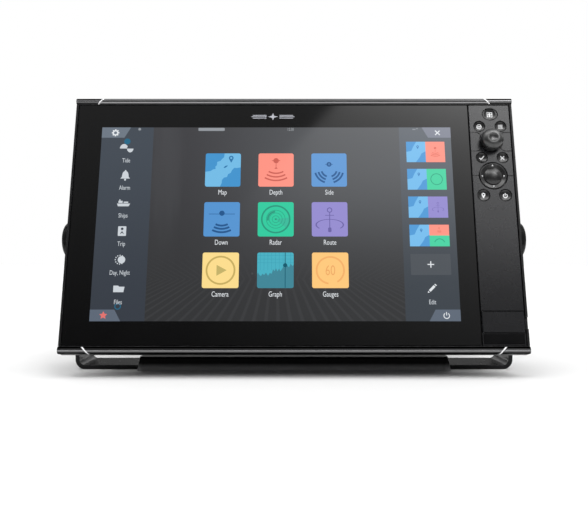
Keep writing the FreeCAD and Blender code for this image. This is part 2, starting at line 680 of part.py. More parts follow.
def clamp_knob():
    """A lobed hand knob, well rounded on its outer edge."""
    def at(radius, x):
        return V(x, PIVOT_Y + radius, PIVOT_Z)
    outline = [
        line(at(0, CLAMP_INNER_X), at(17.0, CLAMP_INNER_X)),
        arc(at(17.0, CLAMP_INNER_X), at(18.9, CLAMP_INNER_X + 0.9), at(CLAMP_R, CLAMP_INNER_X + 3)),
        line(at(CLAMP_R, CLAMP_INNER_X + 3), at(CLAMP_R, CLAMP_OUTER_X - 8.5)),
        arc(at(CLAMP_R, CLAMP_OUTER_X - 8.5), at(CLAMP_R - 2.6, CLAMP_OUTER_X - 2.5),
            at(CLAMP_R - 8.6, CLAMP_OUTER_X)),
        line(at(CLAMP_R - 8.6, CLAMP_OUTER_X), at(0, CLAMP_OUTER_X)),
        line(at(0, CLAMP_OUTER_X), at(0, CLAMP_INNER_X)),
    ]
    body = turned(outline, V(0, PIVOT_Y, PIVOT_Z), V(1, 0, 0))
    flutes = []
    for i in range(8):
        angle = math.radians(22.5 + 45 * i)
        reach = CLAMP_R + 3.6
        flutes.append(cross_rod(PIVOT_Y + reach * math.cos(angle), PIVOT_Z + reach * math.sin(angle),
                                5.6, (CLAMP_INNER_X + 2.5, CLAMP_OUTER_X + 1)))
    hollow = [cross_rod(PIVOT_Y, PIVOT_Z, STUD_R, (CLAMP_INNER_X - 1, STUD_COLLAR_X[1] - 2)),
              cross_rod(PIVOT_Y, PIVOT_Z, STUD_COLLAR_R, STUD_COLLAR_X)]
    return body.cut(group(flutes)).cut(fuse(hollow))


# ---- bracket ----
def arm():
    """One side arm, seen from the side: a wide flared root and a round head on the pivot."""
    head = lean(group([Part.Vertex(V(0, PIVOT_Y, PIVOT_Z))])).Vertexes[0].Point
    root_z = BEND_R - 0.2
    front_root = V(ARM_INNER_X, STRIP_Y[0], root_z)
    rear_root = V(ARM_INNER_X, STRIP_Y[1], root_z)
    flare = V(ARM_INNER_X, 45.0, 24.0)
    front = V(ARM_INNER_X, head.y - ARM_HEAD_R, head.z)
    top = V(ARM_INNER_X, head.y, head.z + ARM_HEAD_R)
    rear_angle = math.radians(30.7)
    rear = V(ARM_INNER_X, head.y + ARM_HEAD_R * math.cos(rear_angle),
             head.z + ARM_HEAD_R * math.sin(rear_angle))
    wire = [
        line(front_root, front),
        arc(front, top, rear),
        line(rear, flare),
        arc(flare, V(ARM_INNER_X, 40.2, 15.5), rear_root),
        line(rear_root, front_root),
    ]
    return Part.Face(Part.Wire(wire)).extrude(V(PLATE, 0, 0)), head


def low_bends(block):
    """The two lowest edges that run front to back."""
    edges = straight_edges(block, V(0, 1, 0))
    return [e for e in edges if e.CenterOfMass.z < block.BoundBox.ZMin + SQUARE]


def bracket_frame():
    outer_x = ARM_INNER_X + PLATE
    strip = box((-outer_x, outer_x), STRIP_Y, (0, BEND_R + 2.5))
    strip = strip.makeFillet(BEND_R, low_bends(strip))
    inner = box((-ARM_INNER_X, ARM_INNER_X), (STRIP_Y[0] - 1, STRIP_Y[1] + 1), (PLATE, 40))
    inner = inner.makeFillet(BEND_R - PLATE, low_bends(inner))
    side, head = arm()
    frame = fuse([strip.cut(inner), side, mirrored_x(side)])
    stud_hole = cross_rod(head.y, head.z, STUD_R + 0.5, (ARM_INNER_X - 1, outer_x + 1))
    cuts = [stud_hole, mirrored_x(stud_hole)]
    cuts.extend([upright_rod(x, y, DECK_BOLT_R, (-1, PLATE + 1)) for x, y in deck_bolts()])
    for x, y in foot_screw_places():
        cuts.append(upright_rod(x, y, 2.3, (-1, PLATE + 1)))
        cuts.append(Part.makeCone(4.3, 2.3, 2.6, V(x, y, -0.01), V(0, 0, 1)))
    return frame.cut(group(cuts))


def deck_bolts():
    return [(sx * DECK_BOLT_X, sy * DECK_BOLT_Y) for sx in (-1, 1) for sy in (-1, 1)]


def foot_screw_places():
    return [(sx * x, 5.0) for sx in (-1, 1) for x in (45.0, 145.0)]


def bracket_foot():
    """The foot block: drafted ends, rounded corners, and a channel below for the bracket's strip."""
    w, draft = FOOT_HALF_W, 3.0
    points = [V(-w, -FOOT_HALF_D, 0), V(w, -FOOT_HALF_D, 0),
              V(w - draft, -FOOT_HALF_D, FOOT_H), V(-w + draft, -FOOT_HALF_D, FOOT_H)]
    block = extrusion(points, V(0, 2 * FOOT_HALF_D, 0))
    upright = [e for e in block.Edges if abs(e.tangentAt(e.FirstParameter).z) > 0.9]
    block = block.makeFillet(7.0, upright)
    block = block.makeFillet(2.6, edges_at(block, lambda p: abs(p.z - FOOT_H) < SQUARE))
    cuts = [box((-w - 1, w + 1), (STRIP_Y[0] - 0.2, STRIP_Y[1] + 0.2), (-1, PLATE))]
    for x, y in deck_bolts():
        cuts.append(upright_rod(x, y, DECK_BOLT_R, (0, FOOT_H + 1)))
        cuts.append(upright_rod(x, y, 6.5, (8.0, FOOT_H + 1)))
    cuts.extend([upright_rod(x, y, 1.95, (PLATE - 1, 12.0)) for x, y in foot_screw_places()])
    return block.cut(group(cuts))


def foot_screws():
    pieces = []
    for x, y in foot_screw_places():
        head = Part.makeCone(3.8, 1.9, 2.3, V(x, y, 0.3), V(0, 0, 1))
        pieces.append(fuse([head, upright_rod(x, y, 1.85, (2.4, 11.5))]))
    return group(pieces)


# ---- all pieces ----
def display_pieces():
    pieces = {
        "bezel_frame": bezel_frame(),
        "top_trim": trim(1),
        "bottom_trim": trim(-1),
        "corner_caps": bar_ends(corner_cap),
        "corner_accents": bar_ends(corner_accent),
        "cover_glass": cover_glass(),
        "touch_sensor": plate((-204, 165), SENSOR_Y, (-109, 109), 1.0),
        "glass_gasket": glass_gasket(),
        "lcd_panel": picture_plate(CELL_Y),
        "backlight_tray": backlight_tray(),
        "display_chassis": display_chassis(),
        "chassis_screws": chassis_screws(),
        "keypad_fascia": keypad_fascia(),
        "key_membrane": key_membrane(),
        "key_switches": key_switches(),
        "keypad_board": keypad_board(),
        "keypad_screws": keypad_screws(),
        "pad_yoke": pad_yoke(),
        "pad_pivot": pad_pivot(),
        "arrow_pad": arrow_pad(),
        "encoder_body": encoder_body(),
        "encoder_plunger": encoder_plunger(),
        "encoder_shaft": encoder_shaft(),
        "rotary_knob": rotary_knob(),
        "card_door": card_door(),
        "door_hinge_pins": door_hinge_pins(),
        "door_seal": ring((179.4, 202.6), (-106.0, -90.0), 1.4, (2.18, SENSOR_Y[1]), 2.0),
        "card_reader": card_reader(),
        "main_board": main_board(),
        "board_fixings": board_fixings(),
        "board_components": board_components(),
        "thermal_pad": thermal_pad(),
        "gps_antenna": gps_antenna(),
        "rear_gasket": rear_gasket(),
        "rear_cover": rear_cover(),
        "rear_cover_screws": rear_cover_screws(),
        "vent_plug": vent_plug(),
        "knob_inserts": both_sides(pivot_tube(INSERT_R, STUD_R + 0.05, (196, BOSS_OUTER_X))),
        "pivot_washers": both_sides(pivot_tube(14.0, STUD_R + 0.5, (BOSS_OUTER_X, ARM_INNER_X - 0.1))),
    }
    pieces.update({name: key(name) for name in KEYS})
    pieces.update({name: sockets(name) for name in SOCKETS})
    washer = pivot_tube(12.5, STUD_R + 0.2, (ARM_INNER_X + PLATE + 0.1, CLAMP_INNER_X))
    clamp = {"clamp_washer": washer, "clamp_knob": clamp_knob(), "clamp_stud": clamp_stud()}
    for name, right in clamp.items():
        pieces[name + "_right"] = right
        pieces[name + "_left"] = mirrored_x(right)
    return pieces


def main():
    os.makedirs("parts", exist_ok=True)
    for name, shape in display_pieces().items():
        export(name, lean(shape))
    export("bracket_frame", bracket_frame())
    export("bracket_foot", bracket_foot())
    export("foot_screws", foot_screws())


main()
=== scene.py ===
import json
import math

import bmesh
import bpy
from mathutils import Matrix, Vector


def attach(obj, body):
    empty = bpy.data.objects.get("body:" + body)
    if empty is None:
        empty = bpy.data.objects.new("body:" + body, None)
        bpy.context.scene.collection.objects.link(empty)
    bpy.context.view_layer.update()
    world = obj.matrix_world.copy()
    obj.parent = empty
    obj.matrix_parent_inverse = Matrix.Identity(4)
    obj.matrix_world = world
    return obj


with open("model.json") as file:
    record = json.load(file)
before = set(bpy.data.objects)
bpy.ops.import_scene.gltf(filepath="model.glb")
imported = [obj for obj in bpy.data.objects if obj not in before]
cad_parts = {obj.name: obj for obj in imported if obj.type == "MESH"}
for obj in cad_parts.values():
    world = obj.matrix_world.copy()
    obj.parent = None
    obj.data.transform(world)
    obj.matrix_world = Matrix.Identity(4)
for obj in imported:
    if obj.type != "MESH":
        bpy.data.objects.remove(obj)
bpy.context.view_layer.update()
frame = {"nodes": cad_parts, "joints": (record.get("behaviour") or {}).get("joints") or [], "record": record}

# The chartplotter's looks: finishes for every CAD node, the lit picture behind the glass, the printed
# marks on the keys and the studio round it.  Drawing sizes are in millimetres on the face of the
# display head, whose axes and origin are read from the frame.
MM = 0.001


# ---- the display head's own axes ----
def joint(name):
    return next(j for j in frame["joints"] if j["name"] == name)


def span(node, axis):
    """How far a node reaches along an axis, (least, most), in metres."""
    reach = [v.co.dot(axis) for v in frame["nodes"][node].data.vertices]
    return min(reach), max(reach)


RIGHT = Vector((1, 0, 0))
BACK = Vector(joint("menu_key_press")["axis"]).normalized()
UP = RIGHT.cross(BACK)
FACE = BACK * span("cover_glass", BACK)[0] + UP * (sum(span("bezel_frame", UP)) / 2)


def on_face(x, z, depth=0.0):
    """The world place of a point drawn on the face; depth is how far behind the glass it lies."""
    return FACE + (RIGHT * x + UP * z + BACK * depth) * MM


def face_box(node):
    """A node's extent on the face, ((left, right), (low, high)), in millimetres."""
    x = [r / MM for r in span(node, RIGHT)]
    z = [(r - FACE.dot(UP)) / MM for r in span(node, UP)]
    return x, z


def face_centre(node):
    x, z = face_box(node)
    return sum(x) / 2, sum(z) / 2


# ---- node graphs ----
class Graph:
    """Adds shader nodes to a tree and joins them up."""

    def __init__(self, tree):
        self.tree = tree
        tree.nodes.clear()

    def add(self, kind, **settings):
        node = self.tree.nodes.new("ShaderNode" + kind)
        for name, value in settings.items():
            setattr(node, name, value)
        return node

    def link(self, source, target):
        self.tree.links.new(source, target)

    def put(self, socket, value):
        """Gives a socket a constant, or joins it to another node's output."""
        if isinstance(value, bpy.types.NodeSocket):
            self.link(value, socket)
        else:
            socket.default_value = value

    def math(self, operation, *values, clamp=False):
        node = self.add("Math", operation=operation, use_clamp=clamp)
        for socket, value in zip(node.inputs, values):
            self.put(socket, value)
        return node.outputs[0]

    def steps(self, value, low, high, to_low=0.0, to_high=1.0):
        node = self.add("MapRange", interpolation_type="SMOOTHSTEP")
        for socket, v in zip(node.inputs, (value, low, high, to_low, to_high)):
            self.put(socket, v)
        return node.outputs[0]

    def parts(self, kind):
        """The x, y and z of a texture coordinate, such as Object for the place or Normal for the facing."""
        split = self.add("SeparateXYZ")
        self.link(self.add("TexCoord").outputs[kind], split.inputs[0])
        return split.outputs

    def relief(self, shader, height, depth, strength=1.0):
        """Bumps of the given depth in millimetres."""
        bump = self.add("Bump")
        bump.inputs["Strength"].default_value = strength
        bump.inputs["Distance"].default_value = depth * MM
        self.link(height, bump.inputs["Height"])
        self.link(bump.outputs[0], shader.inputs["Normal"])

    def gloss(self, shader, noise, least, most):
        """A roughness that wanders between two values."""
        self.link(self.steps(noise, 0.3, 0.7, least, most), shader.inputs["Roughness"])

    def noise(self, scale, detail=3.0, stretch=None):
        """A noise field fixed to the piece; scale is in cycles per metre."""
        place = self.add("TexCoord").outputs["Object"]
        if stretch:
            mapping = self.add("Mapping")
            self.link(place, mapping.inputs["Vector"])
            mapping.inputs["Scale"].default_value = stretch
            place = mapping.outputs["Vector"]
        node = self.add("TexNoise")
        self.link(place, node.inputs["Vector"])
        node.inputs["Scale"].default_value = scale
        node.inputs["Detail"].default_value = detail
        return node.outputs["Fac"]

    def blend(self, share, a, b):
        """A colour between a and b."""
        node = self.add("Mix", data_type="RGBA")
        self.put(node.inputs["Factor"], share)
        self.put(node.inputs["A"], a)
        self.put(node.inputs["B"], b)
        return node.outputs["Result"]


def linear(red, green, blue):
    """A screen colour (0 to 255) as linear light."""
    parts = [c / 255 for c in (red, green, blue)]
    return tuple(c / 12.92 if c <= 0.04045 else ((c + 0.055) / 1.055) ** 2.4 for c in parts)


def toned(colour, gain):
    return tuple(min(1.0, c * gain) for c in colour[:3]) + (1.0,)


def principled(name):
    """A new material, its graph and its main shader."""
    material = bpy.data.materials.new(name)
    material.use_nodes = True
    graph = Graph(material.node_tree)
    shader = graph.add("BsdfPrincipled")
    graph.link(shader.outputs[0], graph.add("OutputMaterial").inputs["Surface"])
    return material, graph, shader


def rubbed_edges(graph, width, amount):
    """How far the paint is rubbed off: most on sharp edges, in patches."""
    bevel = graph.add("Bevel", samples=4)
    bevel.inputs["Radius"].default_value = width * MM
    turn = graph.add("VectorMath", operation="DOT_PRODUCT")
    graph.link(bevel.outputs[0], turn.inputs[0])
    graph.link(graph.add("NewGeometry").outputs["Normal"], turn.inputs[1])
    edge = graph.math("MULTIPLY", graph.steps(turn.outputs["Value"], 0.995, 0.9), amount)
    return graph.math("MULTIPLY", edge, graph.steps(graph.noise(220.0, 4.0), 0.35, 0.6, 0.35, 1.0))


def inner_bend_highlight(graph):
    """A painted highlight on the inside of a bend in a strip: how far a face looks both up and sideways, in
    streaks.
    """
    across, _, upward = graph.parts("Normal")
    sideways = graph.steps(graph.math("ABSOLUTE", across), 0.15, 0.4)
    streaks = graph.steps(graph.noise(260.0, 3.0, stretch=(1, 0.15, 1)), 0.3, 0.6, 0.5, 1.0)
    bend = graph.math("MULTIPLY", sideways, graph.steps(upward, 0.15, 0.4))
    return graph.math("MULTIPLY", bend, streaks)


def finish(name, colour, rough, metal=0.0, grain=2500.0, depth=0.02, patch=0.15, rough_spread=0.06,
           stretch=None, specular=0.5, wear=0.0, wear_colour=(0.5, 0.5, 0.5), wear_width=0.5, floor_reflection=None,
           lower_shade=None, hollow_shade=0.0, top_highlight=None, bend_highlight=None):
    """A surface with patchy colour, uneven gloss, fine relief and, where wear is over 0, rubbed edges.
    grain is the relief's cycles per metre and depth its height in millimetres.  dust is (height, colour):
    a painted reflection of the floor, paler from that height down to the deck.  dull is (low, high, share):
    painted shade that darkens the colour and the specular level from the height high down to low, where
    that share is left.  grime is how far, in millimetres, painted shade spreads from a groove or recess.
    settled is the colour of a painted highlight on faces that look up, and bend_highlight the colour of a
    painted highlight on an inner bend."""
    material, graph, shader = principled(name)
    tint = graph.blend(graph.noise(35.0, 4.0), toned(colour, 1 - patch), toned(colour, 1 + patch))
    fine = graph.noise(grain, 2.0, stretch)
    if wear:
        tint = graph.blend(rubbed_edges(graph, wear_width, wear), tint, wear_colour + (1.0,))
    # painted reflection of the floor: the colour turns paler from a height down to the deck
    if floor_reflection:
        reflection_share = graph.steps(graph.parts("Object")["Z"], floor_reflection[0], 0.0)
        tint = graph.blend(reflection_share, tint, floor_reflection[1] + (1.0,))
    # painted highlight: faces that look up take a lighter colour
    if top_highlight:
        tint = graph.blend(graph.steps(graph.parts("Normal")["Z"], 0.7, 0.95), tint, top_highlight + (1.0,))
    # painted highlight on the inside of a bend
    if bend_highlight:
        tint = graph.blend(inner_bend_highlight(graph), tint, bend_highlight + (1.0,))
    # painted shade: the share of colour and specular level that is kept, lower towards the bottom and in
    # hollows
    unshaded = 1.0
    if lower_shade:
        unshaded = graph.steps(graph.parts("Object")["Z"], lower_shade[0], lower_shade[1], lower_shade[2], 1.0)
    # painted shade in grooves and recesses, from ambient occlusion
    if hollow_shade:
        hollow = graph.add("AmbientOcclusion", samples=8)
        hollow.inputs["Distance"].default_value = hollow_shade * MM
        unshaded = graph.math("MULTIPLY", graph.steps(hollow.outputs["AO"], 0.3, 0.85, 0.1, 1.0), unshaded)
    # painted shade darkens the colour and the specular level
    if lower_shade or hollow_shade:
        tint = graph.blend(unshaded, (0, 0, 0, 1), tint)
        graph.link(graph.math("MULTIPLY", unshaded, specular), shader.inputs["Specular IOR Level"])
    graph.link(tint, shader.inputs["Base Color"])
    graph.gloss(shader, graph.noise(90.0, 5.0), rough - rough_spread, rough + rough_spread)
    shader.inputs["Metallic"].default_value = metal
    shader.inputs["Specular IOR Level"].default_value = specular
    graph.relief(shader, fine, depth, 0.6)
    return material


TRACK_SCALE = 160.0  # copper tracks per metre of board


def board_finish(name, mask, copper):
    """Solder mask over thin copper tracks."""
    material, graph, shader = principled(name)
    tracks = graph.add("TexVoronoi", feature="DISTANCE_TO_EDGE", distance="MANHATTAN")
    graph.link(graph.add("TexCoord").outputs["Object"], tracks.inputs["Vector"])
    tracks.inputs["Scale"].default_value = TRACK_SCALE
    line = graph.steps(tracks.outputs["Distance"], 0.03, 0.07, 1.0, 0.0)
    graph.link(graph.blend(line, mask + (1.0,), copper + (1.0,)), shader.inputs["Base Color"])
    graph.gloss(shader, graph.noise(400.0), 0.25, 0.4)
    graph.relief(shader, line, 0.03)
    return material


# painted highlight and shade on the bars: where a bar's surface faces, as the part of its normal along UP,
# and how much it reflects there
TOP_BAR_HIGHLIGHT = [(-0.96, 0.01), (-0.9, 0.03), (-0.79, 0.08), (-0.62, 0.34), (-0.5, 0.36), (-0.3, 0.1),
            (0.02, 0.05), (0.4, 0.19), (1.0, 0.19)]
BOTTOM_BAR_HIGHLIGHT = [(-0.93, 0.001), (-0.78, 0.008), (-0.5, 0.14), (-0.3, 0.24), (-0.18, 0.58), (-0.08, 0.52),
               (0.12, 0.02), (0.42, 0.001)]
BAR_SHEEN = 1.02  # how much bluer than grey the bars reflect


def bar_finish(name, highlight_stops):
    """A black anodised bar with a painted highlight along its middle and painted shade on its flanks, set by
    which way each face looks, and fine lines drawn along its length.
    """
    material, graph, shader = principled(name)
    facing = graph.add("VectorMath", operation="DOT_PRODUCT")
    graph.link(graph.add("TexCoord").outputs["Normal"], facing.inputs[0])
    facing.inputs[1].default_value = UP
    # painted highlight and shade: the ramp sets the reflecting colour by which way the face looks
    painted_shine = graph.add("ValToRGB")
    graph.link(graph.math("MULTIPLY_ADD", facing.outputs["Value"], 0.5, 0.5), painted_shine.inputs["Fac"])
    stops = painted_shine.color_ramp.elements
    while len(stops) < len(highlight_stops):
        stops.new(0.5)
    for stop, (side, share) in zip(stops, highlight_stops):
        stop.position = (side + 1) / 2
        stop.color = (share, share, share * BAR_SHEEN, 1)
    lines = graph.noise(5000.0, 2.0, stretch=(0.03, 1, 1))
    worn = graph.blend(graph.math("MULTIPLY", lines, 0.25), painted_shine.outputs["Color"], (0.01, 0.01, 0.01, 1))
    graph.link(worn, shader.inputs["Base Color"])
    shader.inputs["Metallic"].default_value = 0.9
    shader.inputs["Specular Tint"].default_value = (0.12, 0.12, 0.12, 1)
    shader.inputs["Specular IOR Level"].default_value = 0.1
    graph.gloss(shader, graph.noise(90.0, 5.0), 0.16, 0.21)
    graph.relief(shader, lines, 0.002)
    return material


GLASS_IOR = 1.5
GLASS_ROUGH = 0.05
SMUDGE = 0.015  # how much rougher the glass is where it was touched
HAZE = 0.012  # light that the glass itself adds over the picture
UNEVEN = 0.03  # how far the backlight wanders, as a share of the picture's height
DARK_GLASS = (0.002, 0.002, 0.002, 1)


def glassy(graph, shader):
    """The gloss of the cover glass, with faint smudges."""
    smudges = graph.steps(graph.noise(45.0, 6.0), 0.35, 0.75, GLASS_ROUGH, GLASS_ROUGH + SMUDGE)
    graph.link(smudges, shader.inputs["Roughness"])
    shader.inputs["IOR"].default_value = GLASS_IOR


def black_glass(name):
    material, graph, shader = principled(name)
    tint = graph.blend(graph.noise(20.0, 3.0), (0.0007, 0.0007, 0.0008, 1), (0.0016, 0.0016, 0.0018, 1))
    graph.link(tint, shader.inputs["Base Color"])
    glassy(graph, shader)
    return material


def lit(name, low, high=None, start=0.0):
    """Light from the picture, seen through the glass: a colour that shades from low to high up the
    face, from the share start of its height, with the slight unevenness of a backlight."""
    material, graph, shader = principled(name)
    low, high = linear(*low), linear(*(high or low))
    low, high = [tuple(max(0.0, c - HAZE) for c in tone) + (1.0,) for tone in (low, high)]
    bottom, top = on_face(0, PICTURE_Z[0]).z, on_face(0, PICTURE_Z[1]).z
    share = graph.steps(graph.parts("Object")["Z"], bottom + start * (top - bottom), top)
    uneven = graph.math("MULTIPLY_ADD", graph.noise(60.0, 3.0), UNEVEN * 2, share)
    uneven = graph.math("SUBTRACT", uneven, UNEVEN, clamp=True)
    graph.link(graph.blend(uneven, low, high), shader.inputs["Emission Color"])
    shader.inputs["Emission Strength"].default_value = 1.0
    shader.inputs["Base Color"].default_value = DARK_GLASS
    glassy(graph, shader)
    return material


# ---- the picture's layout on the face ----
CELL_X, CELL_Z = face_box("lcd_panel")
CELL_BORDER = (4.4, 5.2)
PICTURE_X = (CELL_X[0] + CELL_BORDER[0], CELL_X[1] - CELL_BORDER[0])
PICTURE_Z = (CELL_Z[0] + CELL_BORDER[1], CELL_Z[1] - CELL_BORDER[1])
PICTURE_MID_X = sum(PICTURE_X) / 2
SIDE_BAR = 51.0
TILE = 34.4
TILE_ROUND = 2.0
TILE_PITCH_X, TILE_PITCH_Z = 51.7, 50.2
TILE_MID_Z = 1.2
LABEL_DROP = 25.3
LABEL_SIZE = 7.2
SIDE_LABEL_SIZE = 6.3
LETTER_NARROW = 0.7  # width of the letters against the plain font
SIDE_PITCH = 28.15
SIDE_TOP_Z = 73.8
SIDE_LABEL_DROP = 14.6
SIDE_MARK_SCALE = 0.87
FAVOURITE = (37.8, 21.4)
FAVOURITE_TOP_Z = 70.2
FAVOURITE_PITCH = 28.4
TAB_H = 10.9
SHEET = 0.05  # thickness of one printed or lit layer
WALLPAPER_STRENGTH = 0.8


def picture_wallpaper(name):
    """The picture's dark background: a vertical fade with soft swept ribs and scattered specks."""
    material, graph, shader = principled(name)
    place = graph.add("Mapping")
    graph.link(graph.add("TexCoord").outputs["Object"], place.inputs["Vector"])
    place.inputs["Location"].default_value = -on_face(PICTURE_MID_X, PICTURE_Z[0] + 40)
    split = graph.add("SeparateXYZ")
    graph.link(place.outputs[0], split.inputs[0])
    x, z = split.outputs["X"], split.outputs["Z"]
    share = graph.steps(z, -40 * MM, 150 * MM)
    base = graph.blend(share, toned(linear(55, 56, 58), 1), toned(linear(67, 67, 71), 1))
    glow = graph.math("MULTIPLY", graph.steps(x, -110 * MM, 70 * MM), graph.steps(z, -20 * MM, 115 * MM))
    streak = graph.steps(graph.noise(9.0, 3.0, stretch=(5, 1, 0.7)), 0.45, 0.75, 0.0, 0.22)
    streak = graph.math("MULTIPLY", streak, graph.steps(z, -10 * MM, 90 * MM))
    glow = graph.math("MAXIMUM", glow, streak)
    base = graph.blend(graph.math("MULTIPLY", glow, 0.42), base, toned(linear(122, 126, 130), 1))
    slope = graph.math("DIVIDE", x, graph.math("ADD", graph.math("ABSOLUTE", z), 45 * MM))
    ribs = graph.math("SINE", graph.math("MULTIPLY", slope, 46.0))
    ribs = graph.steps(ribs, 0.2, 1.0, 0.0, 0.5)
    ribs = graph.math("MULTIPLY", ribs, graph.steps(z, 32 * MM, -25 * MM))
    dots = graph.add("TexVoronoi")
    graph.link(place.outputs[0], dots.inputs["Vector"])
    dots.inputs["Scale"].default_value = 75.0
    specks = graph.steps(dots.outputs["Distance"], 0.05, 0.1, 1.0, 0.0)
    specks = graph.math("MULTIPLY", specks, graph.steps(graph.noise(18.0, 2.0), 0.55, 0.7))
    band = graph.math("MULTIPLY", graph.steps(z, -12 * MM, 12 * MM), graph.steps(z, 70 * MM, 30 * MM))
    specks = graph.math("MULTIPLY", specks, band)
    lines = graph.math("MAXIMUM", graph.math("MULTIPLY", ribs, 0.16), specks, clamp=True)
    graph.link(graph.blend(lines, base, toned(linear(120, 121, 125), 1)), shader.inputs["Emission Color"])
    shader.inputs["Emission Strength"].default_value = WALLPAPER_STRENGTH
    shader.inputs["Base Color"].default_value = DARK_GLASS
    glassy(graph, shader)
    return material


# ---- outlines: lists of (x, z) points in millimetres ----
def rect(x, z, w, h):
    return [(x - w / 2, z - h / 2), (x + w / 2, z - h / 2), (x + w / 2, z + h / 2), (x - w / 2, z + h / 2)]


def arc_points(x, z, radius, start, end, count, squash=1.0):
    turns = [math.radians(start + (end - start) * i / count) for i in range(count + 1)]
    return [(x + radius * math.cos(t), z + radius * squash * math.sin(t)) for t in turns]


def round_rect(x, z, w, h, r):
    corners = [(1, 1, 0), (-1, 1, 90), (-1, -1, 180), (1, -1, 270)]
    points = []
    for sx, sz, turn in corners:
        points += arc_points(x + sx * (w / 2 - r), z + sz * (h / 2 - r), r, turn, turn + 90, 6)
    return points


def disc(x, z, radius, count=32):
    return arc_points(x, z, radius, 0, 360, count)[:-1]


def ring(x, z, radius, width, count=40):
    return [disc(x, z, radius + width / 2, count), disc(x, z, radius - width / 2, count)]


def arc_band(x, z, radius, width, start, end, squash=1.0):
    """A stroke along part of a circle."""
    count = max(6, int(abs(end - start) / 6))
    outer = arc_points(x, z, radius + width / 2, start, end, count, squash)
    inner = arc_points(x, z, radius - width / 2, start, end, count, squash)
    return outer + inner[::-1]


def stroke(points, width):
    """The outline of a line of the given width through the points."""
    left, right = [], []
    for i, (x, z) in enumerate(points):
        before = Vector(points[max(i - 1, 0)])
        after = Vector(points[min(i + 1, len(points) - 1)])
        here = Vector((x, z))
        sides = [(here - before).orthogonal().normalized() if i else None,
                 (after - here).orthogonal().normalized() if i < len(points) - 1 else None]
        sides = [s for s in sides if s is not None]
        mitre = sum(sides, Vector((0, 0))) / len(sides)
        mitre = mitre.normalized() / max(mitre.length, 0.5) * width / 2
        left.append(tuple(here + mitre))
        right.append(tuple(here - mitre))
    return left + right[::-1]


def moved(loops, x, z, scale=1.0):
    return [[(x + scale * px, z + scale * pz) for px, pz in loop] for loop in loops]


# ---- thin layers built from outlines ----
def surface_depth(node, x, z):
    """How deep behind the glass plane a node's front surface lies at a place on the face."""
    start = on_face(x, z, -30)
    hit, place, _, _ = frame["nodes"][node].ray_cast(start, BACK)
    return (place - FACE).dot(BACK) / MM if hit else 0.0


def raise_shape(bm, loops, front, back):
    """One flat closed solid from an outline and its holes; front and back give a point's depth."""
    edges = []
    for loop in loops:
        ring_of = [bm.verts.new((x, 0, z)) for x, z in loop]
        edges += [bm.edges.new((a, b)) for a, b in zip(ring_of, ring_of[1:] + ring_of[:1])]
    filled = bmesh.ops.triangle_fill(bm, edges=edges, use_beauty=True)
    faces = [g for g in filled["geom"] if isinstance(g, bmesh.types.BMFace)]
    raised = bmesh.ops.extrude_face_region(bm, geom=faces, use_keep_orig=True)
    front_verts = {g for g in raised["geom"] if isinstance(g, bmesh.types.BMVert)}
    back_verts = {v for f in faces for v in f.verts}
    for verts, depth in ((back_verts, back), (front_verts, front)):
        for v in verts:
            v.co = on_face(v.co.x, v.co.z, depth(v.co.x, v.co.z))


def finish_piece(name, bm, material, body):
    bmesh.ops.remove_doubles(bm, verts=bm.verts, dist=1e-7)
    bmesh.ops.recalc_face_normals(bm, faces=bm.faces)
    mesh = bpy.data.meshes.new(name)
    bm.to_mesh(mesh)
    bm.free()
    mesh.materials.append(material)
    piece = bpy.data.objects.new(name, mesh)
    bpy.context.scene.collection.objects.link(piece)
    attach(piece, body)
    return piece


def layer(name, level, material, shapes):
    """A flat layer on the glass: level counts sheets outwards; each shape is an outline with holes."""
    bm = bmesh.new()
    for loops in shapes:
        raise_shape(bm, loops, lambda x, z: -level * SHEET, lambda x, z: (1 - level) * SHEET)
    return finish_piece(name, bm, material, "display")


def printed(name, node, material, shapes, body, proud=0.06):
    """Marks that follow a node's front surface."""
    bm = bmesh.new()
    for loops in shapes:
        raise_shape(bm, loops, lambda x, z: surface_depth(node, x, z) - proud,
                    lambda x, z: surface_depth(node, x, z) + proud)
    return finish_piece(name, bm, material, body)


def words(name, level, material, labels, size):
    """Text on the glass; labels are (text, x, z) with the text centred on x."""
    bm = bmesh.new()
    for text, x, z in labels:
        curve = bpy.data.curves.new(name, "FONT")
        curve.body = text
        curve.align_x = "CENTER"
        curve.size = size
        curve.extrude = SHEET / 2
        curve.resolution_u = 3
        holder = bpy.data.objects.new(name, curve)
        bpy.context.scene.collection.objects.link(holder)
        mesh = bpy.data.meshes.new_from_object(holder)
        for v in mesh.vertices:
            v.co = on_face(x + LETTER_NARROW * v.co.x, z + v.co.y, (0.5 - level) * SHEET - v.co.z)
        bm.from_mesh(mesh)
        bpy.data.objects.remove(holder)
        bpy.data.meshes.remove(mesh)
        bpy.data.curves.remove(curve)
    return finish_piece(name, bm, material, "display")


# ---- tile drawings, each centred on (0, 0) in a square TILE wide ----
def tile_plate():
    return [round_rect(0, 0, TILE, TILE, TILE_ROUND)]


def sea_corner(shore, sx, sz):
    """A piece of sea that fills one corner of the tile up to the shore line."""
    half = TILE / 2
    turn = {(-1, 1): 90, (1, -1): 270}[(sx, sz)]
    corner = arc_points(sx * (half - TILE_ROUND), sz * (half - TILE_ROUND), TILE_ROUND, turn, turn + 90, 6)
    return [shore + corner]


def map_sea():
    half = TILE / 2
    upper = [(-half, -1.9), (-12.0, -1.2), (-9.8, 0.6), (-7.2, 1.0), (-7.6, 3.4), (-6.0, 5.0), (-5.8, 8.4),
             (-2.6, 9.4), (-1.2, 11.4), (0.8, 13.2), (1.2, half)]
    lower = [(half, 2.6), (13.6, 2.0), (11.0, 2.2), (8.6, -0.4), (7.6, -3.0), (5.0, -4.4), (4.0, -7.4),
             (1.2, -7.8), (-0.8, -10.4), (-1.0, -13.6), (-2.6, -half)]
    return [sea_corner(upper, -1, 1), sea_corner(lower, 1, -1)]


